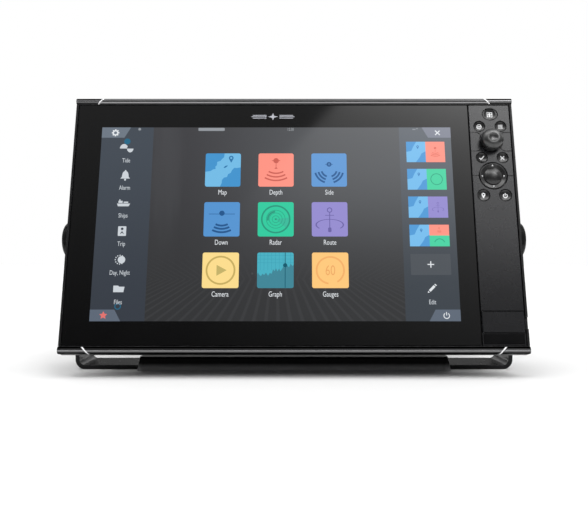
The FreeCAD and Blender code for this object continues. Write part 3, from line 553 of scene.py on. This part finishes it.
def map_marks():
    island = [(-2.0, -1.2), (-0.4, -1.0), (1.6, 0.6), (1.8, 1.6), (0.2, 1.2), (-1.4, 0.2)]
    return [moved([island], 2.6, 3.2), pin(7.8, 12.4, 2.3)]


def pin(x, z, radius):
    """A place marker: a teardrop with a round hole."""
    drop = arc_points(x, z, radius, -35, 215, 20) + [(x, z - 2.2 * radius)]
    return [drop, disc(x, z, radius * 0.45, 16)]


def sonar_arcs(x, z, radii, half_angle, width):
    return [[arc_band(x, z, r, width, 270 - half_angle, 270 + half_angle)] for r in radii]


def echo_marks():
    probe = [[disc(0, 9.6, 2.7, 20)], [rect(0, 9.6, 8.0, 0.7)], [stroke([(0, 7.4), (0, 2.6)], 0.6)],
             [[(-1.7, 1.2), (1.7, 1.2), (0, 3.2)]]]
    return probe + sonar_arcs(0, 10.8, (14.3, 18.0, 21.7), 30, 1.5)


def down_marks():
    probe = [[disc(0, 6.0, 2.6, 20)], [rect(0, 5.2, 25.0, 0.5)]]
    return probe + sonar_arcs(0, 6.0, (12.4, 15.6, 19.0), 28, 1.9)


def side_marks():
    arcs = [[arc_band(0, 0.4, r, 1.8, a, a + 58)] for r in (7.4, 10.6, 13.8) for a in (194, 288)]
    return [ring(0, 5.8, 1.7, 1.5, 20), [rect(0, 5.8, 7.4, 0.5)]] + arcs


def radar_marks():
    fine = [ring(0, 0, r, 0.45) for r in (3.4, 6.2, 9.0)]
    return [ring(0, 0, 13.4, 1.5), [disc(0, 0, 1.0, 16)], [arc_band(0, 0, 7.6, 1.6, 95, 190)]] + fine


def radar_sweep():
    return [[[(0, 0)] + arc_points(0, 0, 12.8, -42, 8, 12)]]


def nav_marks():
    ring_top = ring(0, 9.2, 2.2, 0.9, 24)
    stem = [stroke([(0, 7.0), (0, -8.6)], 0.8)]
    weight = [round_rect(0, -10.6, 3.2, 4.6, 1.0)]
    orbit = [arc_band(0, -5.6, 13.0, 1.3, -40, 220, 0.42)]
    return [ring_top, stem, weight, [rect(0, 3.9, 8.6, 0.6)], orbit]


def video_ring():
    return [ring(0, 0, 13.2, 1.7)]


def video_play():
    return [[[(-3.8, 5.2), (-3.8, -5.4), (5.8, 0)]]]


def plot_area():
    half = TILE / 2
    crest = [(-half, -4.2), (-16.4, -2.0), (-15.2, -4.4), (-13.6, -5.6), (-12.2, -3.4), (-10.6, -4.6),
             (-8.8, -2.4), (-6.9, -5.4), (-5.2, -2.6), (-3.6, -3.4), (-2.1, 1.0), (-0.8, -1.0), (0.6, 1.8),
             (1.9, -1.2), (3.4, 1.6), (4.8, -1.0), (6.2, 1.2), (7.4, 3.4), (9.2, 2.4), (11.1, 4.6),
             (12.8, 2.8), (14.3, 6.2), (16.2, 4.0), (half, 5.4)]
    right = arc_points(half - TILE_ROUND, TILE_ROUND - half, TILE_ROUND, 0, -90, 6)
    left = arc_points(TILE_ROUND - half, TILE_ROUND - half, TILE_ROUND, -90, -180, 6)
    return [[crest + right + left]]


def plot_grid():
    lines = [[rect(x, 8.6, 0.35, TILE / 2)] for x in (-14.4, -10.8, -7.2, -3.6, 0.0, 3.6, 7.2, 14.4)]
    return lines + [[rect(0, z, TILE - 0.4, 0.35)] for z in (14.4, 10.8, 7.2)]


def plot_cursor():
    return [[rect(9.2, 0, 0.7, TILE - 0.4)], [disc(9.2, 4.8, 2.0, 20)]]


def gauge_ring():
    return [[arc_band(0, 0, 12.9, 1.7, -60, 262)]]


COAST = (118, 189, 231)
SEA = (72, 150, 207)
CORAL = (255, 150, 134)
RADAR_GREEN = (52, 204, 160)
VIOLET = (150, 141, 208)

# name, label, plate colour, then (drawing, colour) layers
TILES = [
    ("map", "Map", COAST, [(map_sea, SEA), (map_marks, (52, 118, 170))]),
    ("depth", "Depth", CORAL, [(echo_marks, (205, 100, 88))]),
    ("side", "Side", (100, 155, 214), [(side_marks, (46, 94, 148))]),
    ("down", "Down", (89, 150, 210), [(down_marks, (44, 90, 142))]),
    ("radar", "Radar", RADAR_GREEN, [(radar_sweep, (60, 188, 156)), (radar_marks, (46, 150, 124))]),
    ("route", "Route", VIOLET, [(nav_marks, (108, 100, 164))]),
    ("camera", "Camera", (253, 222, 144), [(video_ring, (200, 174, 100)), (video_play, (197, 179, 108))]),
    ("graph", "Graph", (76, 178, 196), [(plot_grid, (62, 158, 180)), (plot_area, (68, 136, 153)),
                                        (plot_cursor, (24, 92, 110))]),
    ("gauges", "Gauges", (255, 202, 126), [(gauge_ring, (245, 178, 108))]),
]


def tile_places():
    for i in range(len(TILES)):
        row, column = divmod(i, 3)
        yield PICTURE_MID_X + (column - 1) * TILE_PITCH_X, TILE_MID_Z - (row - 1) * TILE_PITCH_Z


def build_tiles(white):
    labels = []
    for (name, label, plate, drawings), (x, z) in zip(TILES, tile_places()):
        layer("tile_" + name, 2, lit("lit_tile_" + name, plate), [moved(tile_plate(), x, z)])
        for level, (drawing, colour) in enumerate(drawings, 3):
            part = drawing.__name__
            layer("icon_" + part, level, lit("lit_" + part, colour), [moved(s, x, z) for s in drawing()])
        labels.append((label, x, z - LABEL_DROP))
    words("tile_labels", 2, white, labels, LABEL_SIZE)
    x, z = list(tile_places())[-1]
    words("gauge_number", 4, lit("lit_gauge_number", (240, 172, 104)), [("60", x, z - 4.8)], 14.0)


# ---- side bars ----
def wave_mark():
    rise = arc_points(-3.4, 0.0, 3.6, 180, 0, 14, 1.25)
    crest = arc_band(-3.4, 0.0, 4.0, 1.0, 20, 180, 1.2)
    trough = arc_points(3.8, -0.2, 3.6, 180, 360, 14, 1.25)
    return [[rise], [crest], [trough]]


def bell_mark():
    body = [(-5.4, -3.6), (-3.8, -1.6), (-3.4, 1.6)] + arc_points(0, 1.8, 3.2, 170, 10, 10, 1.1)
    body += [(3.4, 1.6), (3.8, -1.6), (5.4, -3.6)]
    return [[body], [disc(0, -4.9, 1.2, 16)], [disc(0, 5.6, 0.9, 12)]]


def ship_mark():
    hull = [(-7.4, -0.6), (7.2, -0.6), (5.6, -3.8), (-6.2, -3.8)]
    return [[hull], [rect(-3.6, 1.3, 4.6, 2.6)], [rect(2.4, 0.8, 5.0, 1.6)], [rect(-4.4, 3.4, 1.4, 1.4)]]


def trip_mark():
    card = round_rect(0, 0, 9.0, 11.0, 0.8)
    return [[card, disc(0, 2.6, 1.5, 16), [(-2.6, -3.8), (0, 0.2), (2.6, -3.8), (0, -2.0)]]]


def sun_mark():
    rays = []
    for i in range(9):
        turn = math.radians(60 + 30 * i)
        rays.append([disc(4.9 * math.cos(turn) - 0.6, 4.9 * math.sin(turn), 0.7, 10)])
    return [[disc(1.2, 0, 4.1, 28)]] + rays


def folder_mark():
    return [[[(-5.8, -3.6), (5.2, -3.6), (6.2, 2.4), (0.4, 2.4), (-0.6, 3.6), (-5.8, 3.6)]]]


def pencil_mark():
    shaft = stroke([(-2.6, -2.6), (3.2, 3.2)], 2.8)
    return [[shaft], [[(-5.0, -5.0), (-4.3, -2.5), (-2.5, -4.3)]], [stroke([(3.9, 3.9), (4.8, 4.8)], 2.8)]]


def plus_mark():
    arm = 3.1
    half = 0.5
    cross = [(half, half), (half, arm), (-half, arm), (-half, half), (-arm, half), (-arm, -half),
             (-half, -half), (-half, -arm), (half, -arm), (half, -half), (arm, -half), (arm, half)]
    return [[cross]]


SIDE_ITEMS = [("Tide", wave_mark), ("Alarm", bell_mark), ("Ships", ship_mark),
              ("Trip", trip_mark), ("Day, Night", sun_mark), ("Files", folder_mark)]


def gear(x, z, radius):
    """A toothed wheel with a round hole."""
    points = []
    teeth = 8
    for i in range(teeth):
        middle = 360 / teeth * i
        points += arc_points(x, z, radius, middle - 11, middle + 11, 2)
        points += arc_points(x, z, radius * 0.76, middle + 14, middle + 31, 2)
    return [points, disc(x, z, radius * 0.42, 20)]


def power_mark(x, z, radius, width):
    stem = stroke([(x, z + 0.1 * radius), (x, z + 1.35 * radius)], width)
    return [[arc_band(x, z, radius, width, -235, 55)], [stem]]


def cross_mark(x, z, reach, width):
    """An X drawn as one outline."""
    w = width / math.sqrt(2)
    arm = [(w, 0), (reach + w / 2, reach - w / 2), (reach - w / 2, reach + w / 2)]
    points = []
    for turn in range(4):
        c, s = (1, 0, -1, 0)[turn], (0, 1, 0, -1)[turn]
        points += [(x + c * px - s * pz, z + s * px + c * pz) for px, pz in arm]
    return [points]


def star(x, z, radius):
    points = []
    for i in range(10):
        turn, reach = math.radians(90 + 36 * i), radius * (1 if i % 2 == 0 else 0.5)
        points.append((x + reach * math.cos(turn), z + reach * math.sin(turn)))
    return [points]


def corner_tab(sx, sz, width):
    """A tab in a corner of the picture, with a slanted inner end."""
    outer = PICTURE_X[0] if sx < 0 else PICTURE_X[1]
    edge = PICTURE_Z[0] if sz < 0 else PICTURE_Z[1]
    inner_edge, inner = outer - sx * (width + 3.0), outer - sx * (width - 3.0)
    return [[(outer, edge), (inner_edge, edge), (inner, edge - sz * TAB_H), (outer, edge - sz * TAB_H)]]


def build_side_bars(white, grey):
    left_x = PICTURE_X[0] + SIDE_BAR / 2
    right_x = PICTURE_X[1] - SIDE_BAR / 2
    mid_z, height = sum(PICTURE_Z) / 2, PICTURE_Z[1] - PICTURE_Z[0]
    layer("side_bar_left", 2, lit("lit_bar_left", (62, 67, 75), (72, 79, 88)),
          [[rect(left_x, mid_z, SIDE_BAR, height)]])
    layer("side_bar_right", 2, lit("lit_bar_right", (65, 71, 78), (98, 104, 112), start=0.12),
          [[rect(right_x, mid_z, SIDE_BAR, height)]])
    marks, labels = [], []
    for i, (label, mark) in enumerate(SIDE_ITEMS):
        z = SIDE_TOP_Z - i * SIDE_PITCH
        marks += [moved(shape, left_x, z, SIDE_MARK_SCALE) for shape in mark()]
        labels.append((label, left_x, z - SIDE_LABEL_DROP))
    labels.append(("Edit", right_x, SIDE_TOP_Z - 5 * SIDE_PITCH - SIDE_LABEL_DROP))
    layer("side_marks", 3, grey, marks)
    words("side_labels", 3, grey, labels, SIDE_LABEL_SIZE)
    edit_z = SIDE_TOP_Z - 5 * SIDE_PITCH + 0.2
    layer("edit_marks", 4, white, [moved(s, right_x, edit_z, 0.82) for s in pencil_mark()]
          + [moved(s, right_x, FAVOURITE_TOP_Z - 4 * FAVOURITE_PITCH) for s in plus_mark()])
    spots = [[disc(left_x, 81.2, 3.1)], ring(left_x, -83.6, 2.6, 0.9, 24)]
    layer("scroll_spots", 3, lit("lit_scroll", (44, 106, 136)), spots)


def build_favourites():
    """Two-tone shortcut tiles down the right side bar, and the dark tile that adds one."""
    right_x = PICTURE_X[1] - SIDE_BAR / 2
    w, h = FAVOURITE
    left_x, half_x = right_x - w / 4, right_x + w / 4
    places = [FAVOURITE_TOP_Z - i * FAVOURITE_PITCH for i in range(5)]
    layer("favourite_coast", 3, lit("lit_favourite_coast", (120, 190, 238)),
          [[rect(left_x, z, w / 2, h)] for z in places[:4]])
    sea = []
    for z in places[:4]:
        upper = [(-w / 4, 0), (-w / 4, h / 2), (0.6, h / 2), (-2.6, 5.4), (-4.6, 1.0)]
        lower = [(w / 4, 0.6), (5.4, -1.6), (3.6, -5.2), (-0.4, -h / 2), (w / 4, -h / 2)]
        sea += [moved([shore], left_x, z) for shore in (upper, lower)]
    layer("favourite_sea", 4, lit("lit_favourite_sea", (82, 156, 216)), sea)
    layer("favourite_pins", 4, lit("lit_favourite_pins", (64, 128, 188)),
          [pin(left_x + 1.8, z + 5.6, 1.2) for z in places[:4]])
    coral = [[rect(half_x, places[0], w / 2, h)], [rect(half_x, places[3] + h / 4, w / 2, h / 2)]]
    green = [[rect(half_x, places[1], w / 2, h)], [rect(half_x, places[3] - h / 4, w / 2, h / 2)]]
    layer("favourite_coral", 3, lit("lit_favourite_coral", CORAL), coral)
    layer("favourite_green", 3, lit("lit_favourite_green", (74, 212, 164)), green)
    layer("favourite_violet", 3, lit("lit_favourite_violet", VIOLET), [[rect(half_x, places[2], w / 2, h)]])
    small = 0.42
    layer("favourite_depth", 4, lit("lit_favourite_depth", (222, 112, 96)),
          [moved(s, half_x, places[0], small) for s in echo_marks()]
          + [moved(s, half_x, places[3] + h / 4, small / 2) for s in echo_marks()])
    layer("favourite_radar", 4, lit("lit_favourite_radar", (48, 160, 128)),
          [moved(ring(0, 0, 5.6, 0.7), half_x, places[1]),
           [arc_band(half_x, places[3] - h / 4 - 3.0, 5.0, 0.7, 20, 160)]])
    layer("favourite_route", 4, lit("lit_favourite_route", (122, 112, 180)),
          [moved(s, half_x, places[2], small) for s in nav_marks()])
    layer("add_tile", 3, lit("lit_add_tile", (80, 85, 91)),
          [[round_rect(right_x, places[4], w, h - 1.0, 0.6)]])


def build_corners(white):
    """The four corner tabs with their marks, and the strip of status marks along the top."""
    layer("corner_tabs_left", 3, lit("lit_tab_left", (98, 108, 122), (112, 122, 134)),
          [corner_tab(-1, 1, 25.4), corner_tab(-1, -1, 25.6)])
    layer("corner_tabs_right", 3, lit("lit_tab_right", (98, 108, 122), (130, 134, 148)),
          [corner_tab(1, 1, 25.4), corner_tab(1, -1, 26.0)])
    top, low = PICTURE_Z[1] - TAB_H / 2, PICTURE_Z[0] + TAB_H / 2
    left, right = PICTURE_X[0] + 13.4, PICTURE_X[1] - 13.0
    marks = [gear(left, top - 0.3, 3.7), cross_mark(right, top - 0.3, 2.3, 1.1)]
    marks += power_mark(right, low - 0.3, 2.6, 0.8)
    layer("corner_marks", 4, white, marks)
    layer("alarm_star", 4, lit("lit_alarm_star", (228, 118, 114)), [star(left - 0.8, low, 3.9)])
    z = PICTURE_Z[1] - 2.1
    status = [[round_rect(PICTURE_MID_X - 64.0, z, 26.0, 3.2, 0.8)],
              [disc(PICTURE_X[0] + 37.0, z + 0.2, 1.4, 16)],
              [rect(PICTURE_X[1] - 36.0, z, 3.0, 0.9)],
              [disc(PICTURE_X[1] - 33.0, z + 0.8, 0.7, 10)]]
    layer("status_marks", 3, lit("lit_status", (150, 155, 161)), status)
    clock = [("12:30", PICTURE_MID_X + 14.0, z - 1.4)]
    words("status_clock", 3, lit("lit_clock", (168, 172, 176)), clock, 4.2)


def build_picture():
    white = lit("lit_white", (228, 232, 236))
    grey = lit("lit_grey_white", (206, 212, 218))
    x, z = sum(PICTURE_X) / 2, sum(PICTURE_Z) / 2
    layer("picture", 1, picture_wallpaper("lit_wallpaper"),
          [[rect(x, z, PICTURE_X[1] - PICTURE_X[0], PICTURE_Z[1] - PICTURE_Z[0])]])
    build_tiles(white)
    build_side_bars(white, grey)
    build_favourites()
    build_corners(white)


# ---- printed marks ----
def compass_mark(x, z, width, height):
    """A plain compass needle between two tapered lines."""
    h = height / 2
    needle = [(x, z + h), (x + 0.28 * h, z + 0.28 * h), (x + 1.3 * h, z), (x + 0.28 * h, z - 0.28 * h),
              (x, z - h), (x - 0.28 * h, z - 0.28 * h), (x - 1.3 * h, z), (x - 0.28 * h, z + 0.28 * h)]
    lines = []
    for side in (-1, 1):
        for offset in (-1.5, 0, 1.5):
            inner, outer = x + side * 1.7 * h, x + side * (width / 2 - abs(offset))
            lines.append([stroke([(inner, z + offset), (outer, z + offset)], 0.7)])
    return [[needle]] + lines


def build_glass_mark():
    glass_top = face_box("cover_glass")[1][1]
    paint = finish("print_silver", (0.46, 0.47, 0.52), 0.35, grain=900.0, depth=0.01)
    shapes = compass_mark(PICTURE_MID_X - 3.4, (glass_top + PICTURE_Z[1]) / 2 - 0.4, 43.0, 7.6)
    layer("glass_emblem", 1, paint, shapes)


def key_shapes():
    """name of each key: its printed mark, centred on (0, 0)."""
    pages = [[round_rect(0, 0, 5.6, 5.2, 0.4), rect(-1.4, 1.2, 1.5, 1.5), rect(1.4, 1.2, 1.5, 1.5),
              rect(-1.4, -1.2, 1.5, 1.5), rect(1.4, -1.2, 1.5, 1.5)]]
    wheel = [ring(0, 0, 2.2, 0.8, 24), [rect(-1.25, 0.2, 0.9, 0.7)], [rect(1.25, 0.2, 0.9, 0.7)],
             [disc(0, 0, 0.8, 12)]]
    menu = [[rect(0, dz, 4.4, 0.75)] for dz in (1.5, 0, -1.5)]
    tick = [[stroke([(-2.2, 0.0), (-0.7, -1.7), (2.3, 1.9)], 0.9)]]
    return {"key_pages": pages, "key_wheel": wheel, "key_menu": menu, "key_enter": tick,
            "key_exit": [cross_mark(0, 0, 1.8, 0.9)], "key_waypoint": [pin(0, 0.9, 1.8)],
            "key_power": power_mark(0, -0.3, 2.0, 0.8)}


def build_key_marks():
    paint = finish("print_white", (0.86, 0.87, 0.88), 0.4, grain=1200.0, depth=0.01, patch=0.04)
    for node, marks in key_shapes().items():
        x, z = face_centre(node)
        body = node.replace("key_", "") + "_key"
        printed(node + "_mark", node, paint, [moved(s, x, z) for s in marks], body)
    x, z = face_centre("arrow_pad")
    arrows = []
    reach, half, tall = 10.9, 0.95, 1.5
    for turn in range(4):
        c, s = (1, 0, -1, 0)[turn], (0, 1, 0, -1)[turn]
        tip = [(reach + tall / 2, 0), (reach - tall / 2, half), (reach - tall / 2, -half)]
        arrows.append([[(x + c * px - s * pz, z + s * px + c * pz) for px, pz in tip]])
    printed("arrow_marks", "arrow_pad", paint, arrows, "pad")


# ---- the painted shadow lines in the keypad moulding's grooves and recesses, in millimetres ----
GROOVE_END = 14.2  # from the knob's axis to where a groove ends or turns
GROOVE_RISE = 9.8  # from the knob's axis to the grooves above and below it
GROOVE_BEND = 5.0
LINE_WIDTH = 0.7
SEAM_CLEAR = 0.75  # from the card door's edge to the middle of the dark line beside it
SEAM_INSET = 0.5
SILL_MARGIN = 0.9
KEY_FLANGE = 0.8  # how far a key's flange reaches past its cap
KEY_GAP = 0.3
RING_WIDTH = 0.8
LINE_PROUD = 0.03


def groove_shapes(edges):
    """Painted shadow lines along the grooves beside the knob, which turn in round it, and along those beside
    the arrow pad.
    """
    knob_x, knob_z = face_centre("rotary_knob")
    pad_z = face_centre("arrow_pad")[1]
    shapes = []
    for side, edge in zip((-1, 1), edges):
        end = knob_x + side * GROOVE_END
        for up in (-1, 1):
            z = knob_z + up * GROOVE_RISE
            turn = arc_points(end, z - up * GROOVE_BEND, GROOVE_BEND, 90 * up, 90 * up + 90 * up * side, 8)
            shapes.append([stroke([(edge, z), (end, z)] + turn[1:], LINE_WIDTH)])
        shapes.append([stroke([(edge, pad_z), (end, pad_z)], LINE_WIDTH)])
    return shapes


def key_ring(node):
    """The painted shadow ring in the recess round one key."""
    x, z = face_centre(node)
    (left, right), (low, high) = face_box(node)
    hole_x = (right - left) / 2 - KEY_FLANGE + KEY_GAP
    hole_z = (high - low) / 2 - KEY_FLANGE + KEY_GAP
    return [[(x + (hole_x + grow) * px, z + (hole_z + grow) * pz) for px, pz in disc(0, 0, 1, 36)]
            for grow in (RING_WIDTH, 0.0)]


def build_fascia_lines():
    """Painted shadow lines where the grooves and the key recesses sink into the keypad moulding, with
    the seams by the card door, and the glossy dark strip on the sill under the card door."""
    # painted shadow: a near-black matt finish laid over the grooves, the seams and the key recesses
    dark = finish("groove_shadow", (0.002, 0.002, 0.0022), 0.6, grain=2000.0, depth=0.01, specular=0.06)
    gloss = finish("sill_gloss", (0.002, 0.002, 0.0024), 0.32, grain=1500.0, depth=0.006, specular=0.09,
                   patch=0.3)
    edges, (sill, _) = face_box("keypad_fascia")
    door_low, door_high = face_box("card_door")[1]
    seams = [[stroke([(edges[0] + SEAM_INSET, z), (edges[1] - SEAM_INSET, z)], LINE_WIDTH)]
             for z in (door_low - SEAM_CLEAR, door_high + SEAM_CLEAR)]
    shapes = groove_shapes(edges) + seams + [key_ring(node) for node in key_shapes()]
    # painted shadow lines over the grooves, the seams beside the card door and the key recesses
    printed("fascia_shadow_lines", "keypad_fascia", dark, shapes, "display", LINE_PROUD)
    low, high = sill + SILL_MARGIN, door_low - SEAM_CLEAR - LINE_WIDTH
    strip = rect(sum(edges) / 2, (low + high) / 2, edges[1] - edges[0] - 2 * SILL_MARGIN, high - low)
    printed("sill_strip", "keypad_fascia", gloss, [[strip]], "display", LINE_PROUD)


# ---- finishes for the CAD nodes, by material slot ----
PAINT_CHIP = (0.30, 0.30, 0.31)
SLOT_FINISHES = {
    # painted highlight on the inner bends of the bracket strip
    "bracket_paint": dict(colour=(0.007, 0.007, 0.0078), rough=0.26, grain=1800.0, depth=0.012,
                          rough_spread=0.015, specular=0.2, wear=0.5, wear_colour=PAINT_CHIP,
                          wear_width=0.9, bend_highlight=(0.22, 0.22, 0.225)),
    # painted reflection of the floor on the foot's lower part, and a painted highlight on its top faces
    "foot_plastic": dict(colour=(0.0016, 0.0016, 0.0018), rough=0.3, grain=3000.0, depth=0.006,
                         specular=0.03, rough_spread=0.03, floor_reflection=(0.0085, (0.4, 0.4, 0.41)),
                         top_highlight=(0.3, 0.3, 0.3)),
    "steel": dict(colour=(0.56, 0.56, 0.57), rough=0.3, metal=1.0, grain=900.0, depth=0.01,
                  stretch=(1, 12, 1)),
    "bezel_black": dict(colour=(0.006, 0.006, 0.0065), rough=0.36, grain=3500.0, depth=0.012,
                        specular=0.25, wear=0.25, wear_colour=PAINT_CHIP, wear_width=0.3),
    "accent_silver": dict(colour=(0.9, 0.9, 0.91), rough=0.35, grain=2600.0, depth=0.006, patch=0.04),
    "clear_film": dict(colour=(0.3, 0.31, 0.33), rough=0.12, grain=400.0, depth=0.004),
    "black_rubber": dict(colour=(0.014, 0.014, 0.014), rough=0.75, grain=1600.0, depth=0.05, specular=0.3),
    "lcd_glass": dict(colour=(0.03, 0.035, 0.04), rough=0.1, grain=600.0, depth=0.004),
    "white_plastic": dict(colour=(0.72, 0.72, 0.7), rough=0.45, grain=1500.0),
    "bare_aluminium": dict(colour=(0.6, 0.6, 0.61), rough=0.38, metal=1.0, grain=700.0,
                           stretch=(12, 1, 1)),
    # painted shade towards the bottom of the keypad and in its grooves
    "keypad_grey": dict(colour=(0.0105, 0.0108, 0.013), rough=0.27, grain=2800.0, depth=0.01, patch=0.08,
                        rough_spread=0.012, specular=0.6, lower_shade=(0.06, 0.15, 0.57), hollow_shade=1.2),
    "grey_silicone": dict(colour=(0.2, 0.2, 0.21), rough=0.65, grain=900.0, depth=0.03),
    "inner_plastic": dict(colour=(0.02, 0.02, 0.021), rough=0.45, grain=1600.0, depth=0.03),
    # painted shade in the hollows of the keys
    "key_black": dict(colour=(0.014, 0.014, 0.0145), rough=0.25, grain=4200.0, depth=0.01, patch=0.1,
                      specular=0.6, hollow_shade=0.8),
    "knob_black": dict(colour=(0.014, 0.0145, 0.0145), rough=0.31, grain=4200.0, depth=0.012, patch=0.1,
                       specular=1.0),
    "brass": dict(colour=(0.7, 0.5, 0.2), rough=0.3, metal=1.0, grain=900.0, stretch=(1, 14, 1)),
    "chip_black": dict(colour=(0.02, 0.02, 0.022), rough=0.55, grain=5000.0, depth=0.03),
    "ceramic": dict(colour=(0.6, 0.55, 0.42), rough=0.4, grain=2000.0),
    "cast_black": dict(colour=(0.022, 0.0225, 0.024), rough=0.5, grain=1500.0, depth=0.06, patch=0.2,
                       wear=0.35, wear_colour=PAINT_CHIP, wear_width=0.5),
    "socket_black": dict(colour=(0.02, 0.02, 0.021), rough=0.42, grain=1500.0, depth=0.03),
    "clamp_black": dict(colour=(0.003, 0.0031, 0.0032), rough=0.45, grain=1900.0, depth=0.04, patch=0.15,
                        specular=0.12, wear=0.15, wear_colour=(0.04, 0.04, 0.04), wear_width=0.8),
}


def dress_nodes():
    """Gives each CAD node its slot's finish; the top bar alone has one of its own."""
    finishes = {slot: finish(slot, **settings) for slot, settings in SLOT_FINISHES.items()}
    finishes["trim_gloss"] = bar_finish("trim_gloss", BOTTOM_BAR_HIGHLIGHT)
    finishes["top_trim"] = bar_finish("top_trim", TOP_BAR_HIGHLIGHT)
    finishes["black_glass"] = black_glass("black_glass")
    finishes["green_board"] = board_finish("green_board", (0.012, 0.09, 0.035), (0.05, 0.2, 0.08))
    for part in frame["record"]["subparts"]:
        mesh = frame["nodes"][part["node"]].data
        mesh.materials.clear()
        mesh.materials.append(finishes.get(part["node"], finishes[part["material_slot"]]))


# ---- studio ----
CAMERA_BACK = 0.775
CAMERA_HEIGHT = 0.1157
CAMERA_LENS = 46.35
SENSOR_WIDTH = 36.0
FLOOR_REACH = 6.0
FLOOR_CELLS = 24
# how bright each part of the room is; heights are the upward part of a direction
REAR_LIGHT = 0.95
REAR_LOW_LIGHT = 0.03
REAR_RISE = (0.2, 0.38)
REAR_TURN = (-0.25, 0.15)  # where the front of the room gives way to the rear
ZENITH_LIGHT = 1.3
ZENITH = (0.88, 0.96)
BAND_LIGHT = 4.0
BAND = (0.70, 0.78)
ROOM_DIM, ROOM_BRIGHT = 0.07, 0.6
ROOM_SLOPE, ROOM_DROP = 0.64, -0.17
# the glare has a slanted left edge and a soft right end, and grows brighter to the right and upward
GLARE_SLANT, GLARE_SHIFT, GLARE_EDGE = -0.759, 0.57, 0.012
GLARE_END = (1.1, 0.5)
GLARE_LEFT = -0.15  # left of this it grows no dimmer
GLARE_SPREAD, GLARE_LEVEL, GLARE_MOST = 5.1, 0.97, 3.2
GLARE_FADE, GLARE_TOP = 5.8, 0.838


def build_camera():
    camera = bpy.data.objects.new("camera", bpy.data.cameras.new("camera"))
    bpy.context.scene.collection.objects.link(camera)
    camera.location = (0, -CAMERA_BACK, CAMERA_HEIGHT)
    camera.rotation_euler = (math.pi / 2, 0, 0)
    camera.data.lens = CAMERA_LENS
    camera.data.sensor_width = SENSOR_WIDTH
    camera.data.clip_start = 0.01
    bpy.context.scene.camera = camera


def front_light(graph, x, y, z):
    """The room in front of the face: dim low down, a softbox high up, and a slanted glare at its right."""
    ahead = graph.math("MAXIMUM", graph.math("MULTIPLY", y, -1.0), 0.05)
    across = graph.math("DIVIDE", x, ahead)
    rise = graph.math("DIVIDE", z, ahead)
    base = graph.math("MAXIMUM", graph.math("MULTIPLY_ADD", rise, ROOM_SLOPE, ROOM_DROP), ROOM_DIM)
    base = graph.math("MINIMUM", base, ROOM_BRIGHT)
    slant = graph.math("MULTIPLY_ADD", rise, GLARE_SLANT, graph.math("ADD", across, GLARE_SHIFT))
    inside = graph.steps(slant, -GLARE_EDGE, GLARE_EDGE)
    inside = graph.math("MULTIPLY", inside, graph.steps(across, *GLARE_END))
    level = graph.math("MULTIPLY_ADD", graph.math("MAXIMUM", across, GLARE_LEFT), GLARE_SPREAD, GLARE_LEVEL)
    fade = graph.math("MULTIPLY_ADD", graph.math("MINIMUM", rise, 1.0), GLARE_FADE, -GLARE_FADE * GLARE_TOP)
    glare = graph.math("MULTIPLY", graph.math("EXPONENT", fade), graph.math("MINIMUM", level, GLARE_MOST))
    glare = graph.math("MULTIPLY", glare, inside)
    band = graph.math("MULTIPLY", graph.steps(z, *BAND), BAND_LIGHT)
    return graph.math("MAXIMUM", graph.math("ADD", base, glare), band)


def build_world():
    """Pale surroundings behind the object and a dim room with soft light before it."""
    world = bpy.data.worlds.new("studio")
    bpy.context.scene.world = world
    world.use_nodes = True
    graph = Graph(world.node_tree)
    x, y, z = graph.parts("Generated")
    front = front_light(graph, x, y, z)
    upper = graph.steps(z, *ZENITH)
    front = graph.math("ADD", graph.math("MULTIPLY", front, graph.math("SUBTRACT", 1.0, upper)),
                       graph.math("MULTIPLY", upper, ZENITH_LIGHT))
    share = graph.steps(y, *REAR_TURN)
    rear = graph.steps(z, *REAR_RISE, REAR_LOW_LIGHT, REAR_LIGHT)
    light = graph.math("ADD", graph.math("MULTIPLY", front, graph.math("SUBTRACT", 1.0, share)),
                       graph.math("MULTIPLY", share, rear))
    seen = graph.add("LightPath").outputs["Is Camera Ray"]
    light = graph.math("ADD", graph.math("MULTIPLY", light, graph.math("SUBTRACT", 1.0, seen)), seen)
    background = graph.add("Background")
    background.inputs["Color"].default_value = (1, 1, 1, 1)
    graph.link(light, background.inputs["Strength"])
    graph.link(background.outputs[0], graph.add("OutputWorld").inputs["Surface"])


def build_floor():
    """A pale matt floor with a slight unevenness."""
    bm = bmesh.new()
    bmesh.ops.create_grid(bm, x_segments=FLOOR_CELLS, y_segments=FLOOR_CELLS, size=FLOOR_REACH)
    mesh = bpy.data.meshes.new("floor")
    bm.to_mesh(mesh)
    bm.free()
    mesh.materials.append(finish("floor_paint", (0.87, 0.87, 0.87), 0.9, grain=300.0, depth=0.02, patch=0.01,
                                 rough_spread=0.03, specular=0.0))
    floor = bpy.data.objects.new("floor", mesh)
    bpy.context.scene.collection.objects.link(floor)


build_camera()
build_world()
build_floor()
dress_nodes()
build_picture()
build_glass_mark()
build_key_marks()
build_fascia_lines()
bpy.context.scene.view_settings.view_transform = "Standard"
